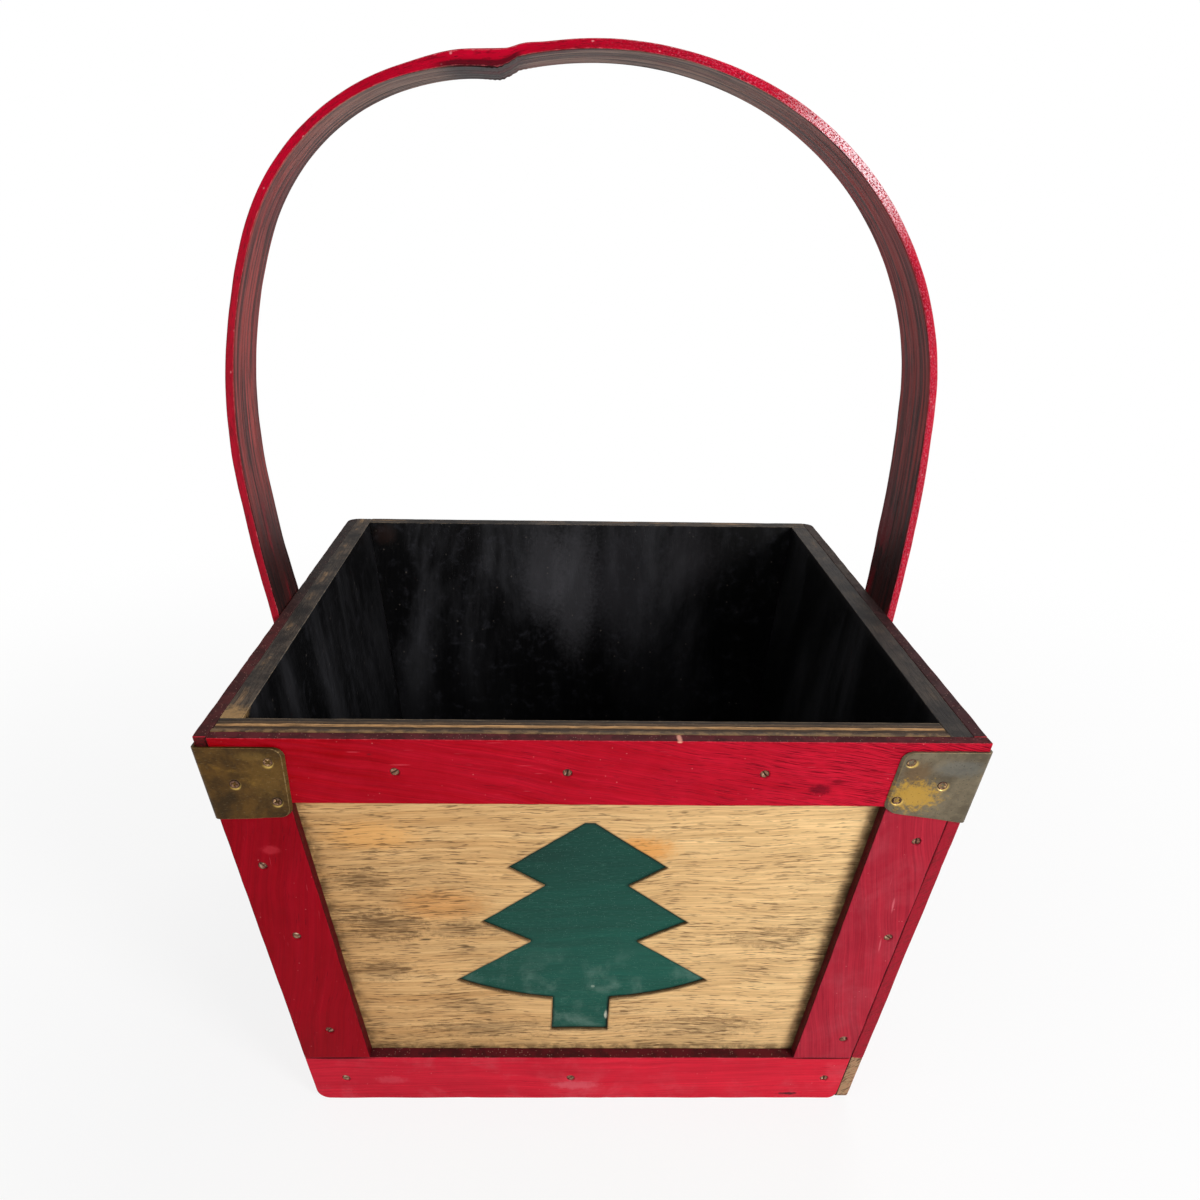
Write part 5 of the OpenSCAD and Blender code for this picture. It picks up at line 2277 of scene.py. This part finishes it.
def side_strips(box: Carcass) -> tuple[StripWall, StripWall]:
    """The strips of the right wall and of the left one.

    Args:
        box: Sizes of the box.

    Returns:
        The two walls.
    """
    common = RedStain(slant=0.05, tones=(0.3, 0.6), wash=0.08, ends=(108, 56, 50))
    right = replace(common, ledge=(60, 52, 47), far_ledge=(66, 36, 38))
    left = replace(common, ledge=(76, 34, 34), far_ledge=(48, 43, 41))
    right_stains = {"bottom_rail": replace(right, ends=(160, 136, 102), streaky=0.75),
                    "front_stile": replace(right, ends=(146, 26, 42))}
    left_stains = {"top_rail": replace(left, ends=(56, 24, 22))}
    return (StripWall(box, Side.RIGHT, "right", 50, ("front_stile", "back_stile"), (box.strip, 0.0),
                      (0.0, 0.0), (0.0, 0.0), right_stains, right, foot_corners=((0, 1, 3 * MM),)),
            StripWall(box, Side.LEFT, "left", 40, ("back_stile", "front_stile"), (0.0, 1.2 * MM),
                      (0.0, box.strip), (0.0, box.strip), left_stains, left))


@dataclass(frozen=True)
class Fittings:
    """Brackets and screws."""

    carcass: Carcass
    walls: tuple[StripWall, ...]
    strip_sink: float = 0.5 * MM
    pin_lift: float = 1.0 * MM

    def brackets(self) -> tuple[CornerBracket, CornerBracket]:
        """Make and dress the two brackets.

        Returns:
            Their shapes, left and right.
        """
        rounded = tuple((i, j, 4.5 * MM) for i in (0, 1) for j in (0, 1))
        left = CornerBracket(name="left_bracket_plate", carcass=self.carcass, arris=0.3 * MM, seed=61,
                             plan_corners=rounded, tail=2.8 * MM)
        right = CornerBracket(name="right_bracket_plate", carcass=self.carcass, first=Side.FRONT,
                              second=Side.RIGHT, arris=0.3 * MM, seed=62, plan_corners=rounded,
                              lift=0.15 * MM, tail=-1.4 * MM, splay=(-0.8 * MM, 4.0 * MM),
                              pins=((0.87, 0.14), (0.47, 0.45), (0.95, 0.66)))
        place_piece(left.build(), "left_bracket", TarnishedBrass(
            "left_bracket_brass", dull=(90, 62, 20), dark=(50, 34, 10), golden=0.2,
            marks=(Mark(62, 14, 12, 14, (118, 86, 34), 0.5, 1.2),
                   Mark(58, 4, 9, 3, (134, 106, 52), 0.25))).make())
        place_piece(right.build(), "right_bracket", TarnishedBrass(
            "right_bracket_brass", dull=(117, 106, 86), dark=(86, 77, 62),
            marks=(Mark(7, 12, 8, 9, (104, 78, 48), 0.6, 1.2), Mark(24, 8, 14, 6, (106, 112, 112), 0.35, 1.0),
                   Mark(9, 24, 14, 10.5, (190, 148, 56), 0.8, 2.2))).make())
        return left, right

    def bracket_seats(self, shapes: tuple[CornerBracket, ...]) -> list[Seat]:
        """Seats of the brackets' screws.

        Args:
            shapes: The brackets.

        Returns:
            One seat for each screw, each turned on by another angle.
        """
        seats = []
        for shape in shapes:
            for across, fall in shape.pin_seats():
                share = abs(across - shape.reach) / shape.reach
                down = shape.top + fall / shape.fall * (shape.low(share) - shape.top)
                along = shape.corner_out(down) - share * shape.span(down)
                side, sign = (shape.first, 1) if across < shape.reach else (shape.second, -1)
                seats.append(Seat(Wall(self.carcass, side), sign * along, down, -self.pin_lift,
                                  20.0 + 37.0 * len(seats)))
        return seats

    def build(self) -> None:
        """Make the brackets and the screws."""
        seats = self.bracket_seats(self.brackets())
        pins = ScrewHead(1.95 * MM, 0.15 * MM, Recess.CROSS)
        place_piece(pins.build("bracket_screw_heads", seats), "bracket_screws",
                    ScrewMetal("bracket_screw_metal", (124, 92, 74), (74, 50, 40), (224, 184, 130),
                               (32, 22, 18), 0.32, 0.2).make())
        front_metal = ScrewMetal("front_screw_metal", (142, 104, 82), (86, 46, 38), (226, 196, 166),
                                 (54, 14, 18), 0.34)
        head = ScrewHead(1.8 * MM, 0.1 * MM, Recess.SLOT)
        for word, walls, first, turn, metal in (
                ("front", self.walls[:1], 31.0, 47.0, front_metal),
                ("side", self.walls[1:], 12.0, 53.0, ScrewMetal("side_screw_metal"))):
            seats = [Seat(wall.wall, along, down, self.strip_sink, first + turn * number) for wall in walls
                     for number, (along, down) in enumerate(sum(wall.screws(), []))]
            heads = head.build(word + "_screw_heads", seats)
            place_piece(heads, word + "_screws", metal.make())


@dataclass(frozen=True)
class Handle:
    """The strap and its four screws, which are shares of its width and of its lap."""

    carcass: Carcass = Carcass()
    bolts: tuple[Pair, ...] = ((-0.26, 0.34), (0.26, 0.68))

    def build(self) -> None:
        """Make and dress the strap and its screws."""
        strap = Strap(name="handle_strap", carcass=self.carcass, arris=0.8 * MM, wear=0.35, nicks=26, seed=71)
        place_piece(strap.build(), "handle", HandleStain().make())
        aside = strap.twist * self.carcass.top_width / 2
        seats = [Seat(Wall(self.carcass, side), part * strap.width + aside, share * strap.lap, -strap.thick,
                      25.0 + 61 * i)
                 for side in (Side.RIGHT, Side.LEFT) for i, (part, share) in enumerate(self.bolts)]
        head = ScrewHead(3 * MM, 0.7 * MM, Recess.CROSS)
        place_piece(head.build("handle_screw_heads", seats), "handle_screws",
                    ScrewMetal("handle_screw_metal").make())


@dataclass(frozen=True)
class Studio:
    """Camera, floor, lamps and surroundings; angles are in degrees, the lens in millimetres."""

    place: Triple = (-0.0143164, -0.4974446, 0.3882709)
    turn: float = 1.23203
    pitch: float = 19.40663
    roll: float = 0.98243
    lens: float = 30.596
    sensor: float = 36.0
    shift: Pair = (0.01695, -0.01275)
    aim: Triple = (0.0, 0.0, 0.15)
    floor_radius: float = 9.0
    floor_level: float = -0.2 * MM
    around: int = 64
    floor_colour: float = 0.86
    world_light: float = 0.35

    def camera(self) -> None:
        """Set up the camera.

        The view direction follows from the turn about Z and the pitch below the horizon;
        the picture is then rolled about it.
        """
        turn, pitch, roll = (math.radians(v) for v in (self.turn, self.pitch, self.roll))
        ahead = Vector((math.sin(turn) * math.cos(pitch), math.cos(turn) * math.cos(pitch), -math.sin(pitch)))
        right = Vector((math.cos(turn), -math.sin(turn), 0.0))
        up = right.cross(ahead)
        across = right * math.cos(roll) + up * math.sin(roll)
        above = up * math.cos(roll) - right * math.sin(roll)
        data = bpy.data.cameras.new("camera")
        data.sensor_width = self.sensor
        data.lens = self.lens
        data.shift_x, data.shift_y = self.shift
        data.clip_start = 0.01
        camera = bpy.data.objects.new("camera", data)
        rows = Matrix((across, above, -ahead)).transposed()
        camera.matrix_world = Matrix.Translation(self.place) @ rows.to_4x4()
        bpy.context.scene.collection.objects.link(camera)
        bpy.context.scene.camera = camera

    def lamp(self, name: str, place: Triple, size: float, power: float) -> None:
        """Add a square soft lamp that looks at the middle of the box.

        Args:
            name: Name of the lamp.
            place: Where it hangs.
            size: Length of its sides.
            power: Watts.
        """
        data = bpy.data.lights.new(name, "AREA")
        data.shape = "SQUARE"
        data.size = size
        data.energy = power
        lamp = bpy.data.objects.new(name, data)
        aim = Vector(self.aim) - Vector(place)
        lamp.matrix_world = Matrix.Translation(place) @ aim.to_track_quat("-Z", "Y").to_matrix().to_4x4()
        bpy.context.scene.collection.objects.link(lamp)

    def floor(self) -> None:
        """Make the pale floor, a round sheet whose far part is as white as the surroundings."""
        rings = np.concatenate([np.linspace(0.05, 1.5, 12), np.geomspace(2.0, self.floor_radius, 8)])
        angle = np.arange(self.around) * 2 * math.pi / self.around
        level = np.full((len(rings), self.around), self.floor_level)
        points = np.stack([np.outer(rings, np.cos(angle)), np.outer(rings, np.sin(angle)), level], -1)
        points = np.concatenate([points.reshape(-1, 3), [[0, 0, self.floor_level]]])
        quads, middle, _ = turned_faces(len(rings), self.around)
        floor = make_object("studio_floor", points, [quads, middle], {})
        surface = Surface("studio_floor")
        surface.join(surface.shader, {"Base Color": (*(self.floor_colour,) * 3, 1.0), "Roughness": 0.9})
        away = surface.length(surface.out("TexCoord", {}, "Object"))
        share = away.span(0.25, 0.9, 0.85, 1.0) * surface.ray("Camera").most(surface.ray("Glossy"))
        white = surface.out("Emission", {"Color": (1, 1, 1, 1), "Strength": 1.0})
        both = surface.out("MixShader", {0: share, 1: Value(surface, surface.shader.outputs[0]), 2: white})
        output = next(n for n in surface.tree.nodes if n.type == "OUTPUT_MATERIAL")
        surface.join(output, {"Surface": both})
        floor.data.materials.append(surface.material)

    def surroundings(self) -> None:
        """Make the surroundings white to the eye and in reflections, and soft as light."""
        world = bpy.data.worlds.new("surroundings")
        bpy.context.scene.world = world
        world.use_nodes = True
        bench = Bench(world.node_tree)
        ground = next(n for n in world.node_tree.nodes if n.type == "BACKGROUND")
        seen = bench.ray("Camera").most(bench.ray("Transmission"))
        strength = seen.between(self.world_light, 1.0).most(bench.ray("Glossy") * 0.5)
        bench.join(ground, {"Color": (1, 1, 1, 1), "Strength": strength})

    def build(self) -> None:
        """Set up the studio."""
        self.camera()
        self.floor()
        self.surroundings()
        self.lamp("key_lamp", (1.0, -1.2, 0.75), 0.45, 19.5)
        self.lamp("fill_lamp", (-1.2, -1.0, 0.9), 1.2, 3.5)
        self.lamp("back_lamp", (0.5, 1.1, 1.5), 0.9, 12.0)
        bpy.context.scene.view_settings.view_transform = "Standard"
        LOG.info("studio is set up")


def main() -> None:
    """Build the studio and the basket, piece by piece."""
    logging.basicConfig(level=logging.INFO, format="%(name)s: %(message)s")
    Studio().build()
    make_effects()
    box = Carcass()
    walls = (front_strips(box), *side_strips(box))
    Panels(box).build()
    FrontPicture(box).build()
    for wall in walls:
        wall.build()
    Fittings(box, walls).build()
    Handle(box).build()


if __name__ == "__main__":
    main()
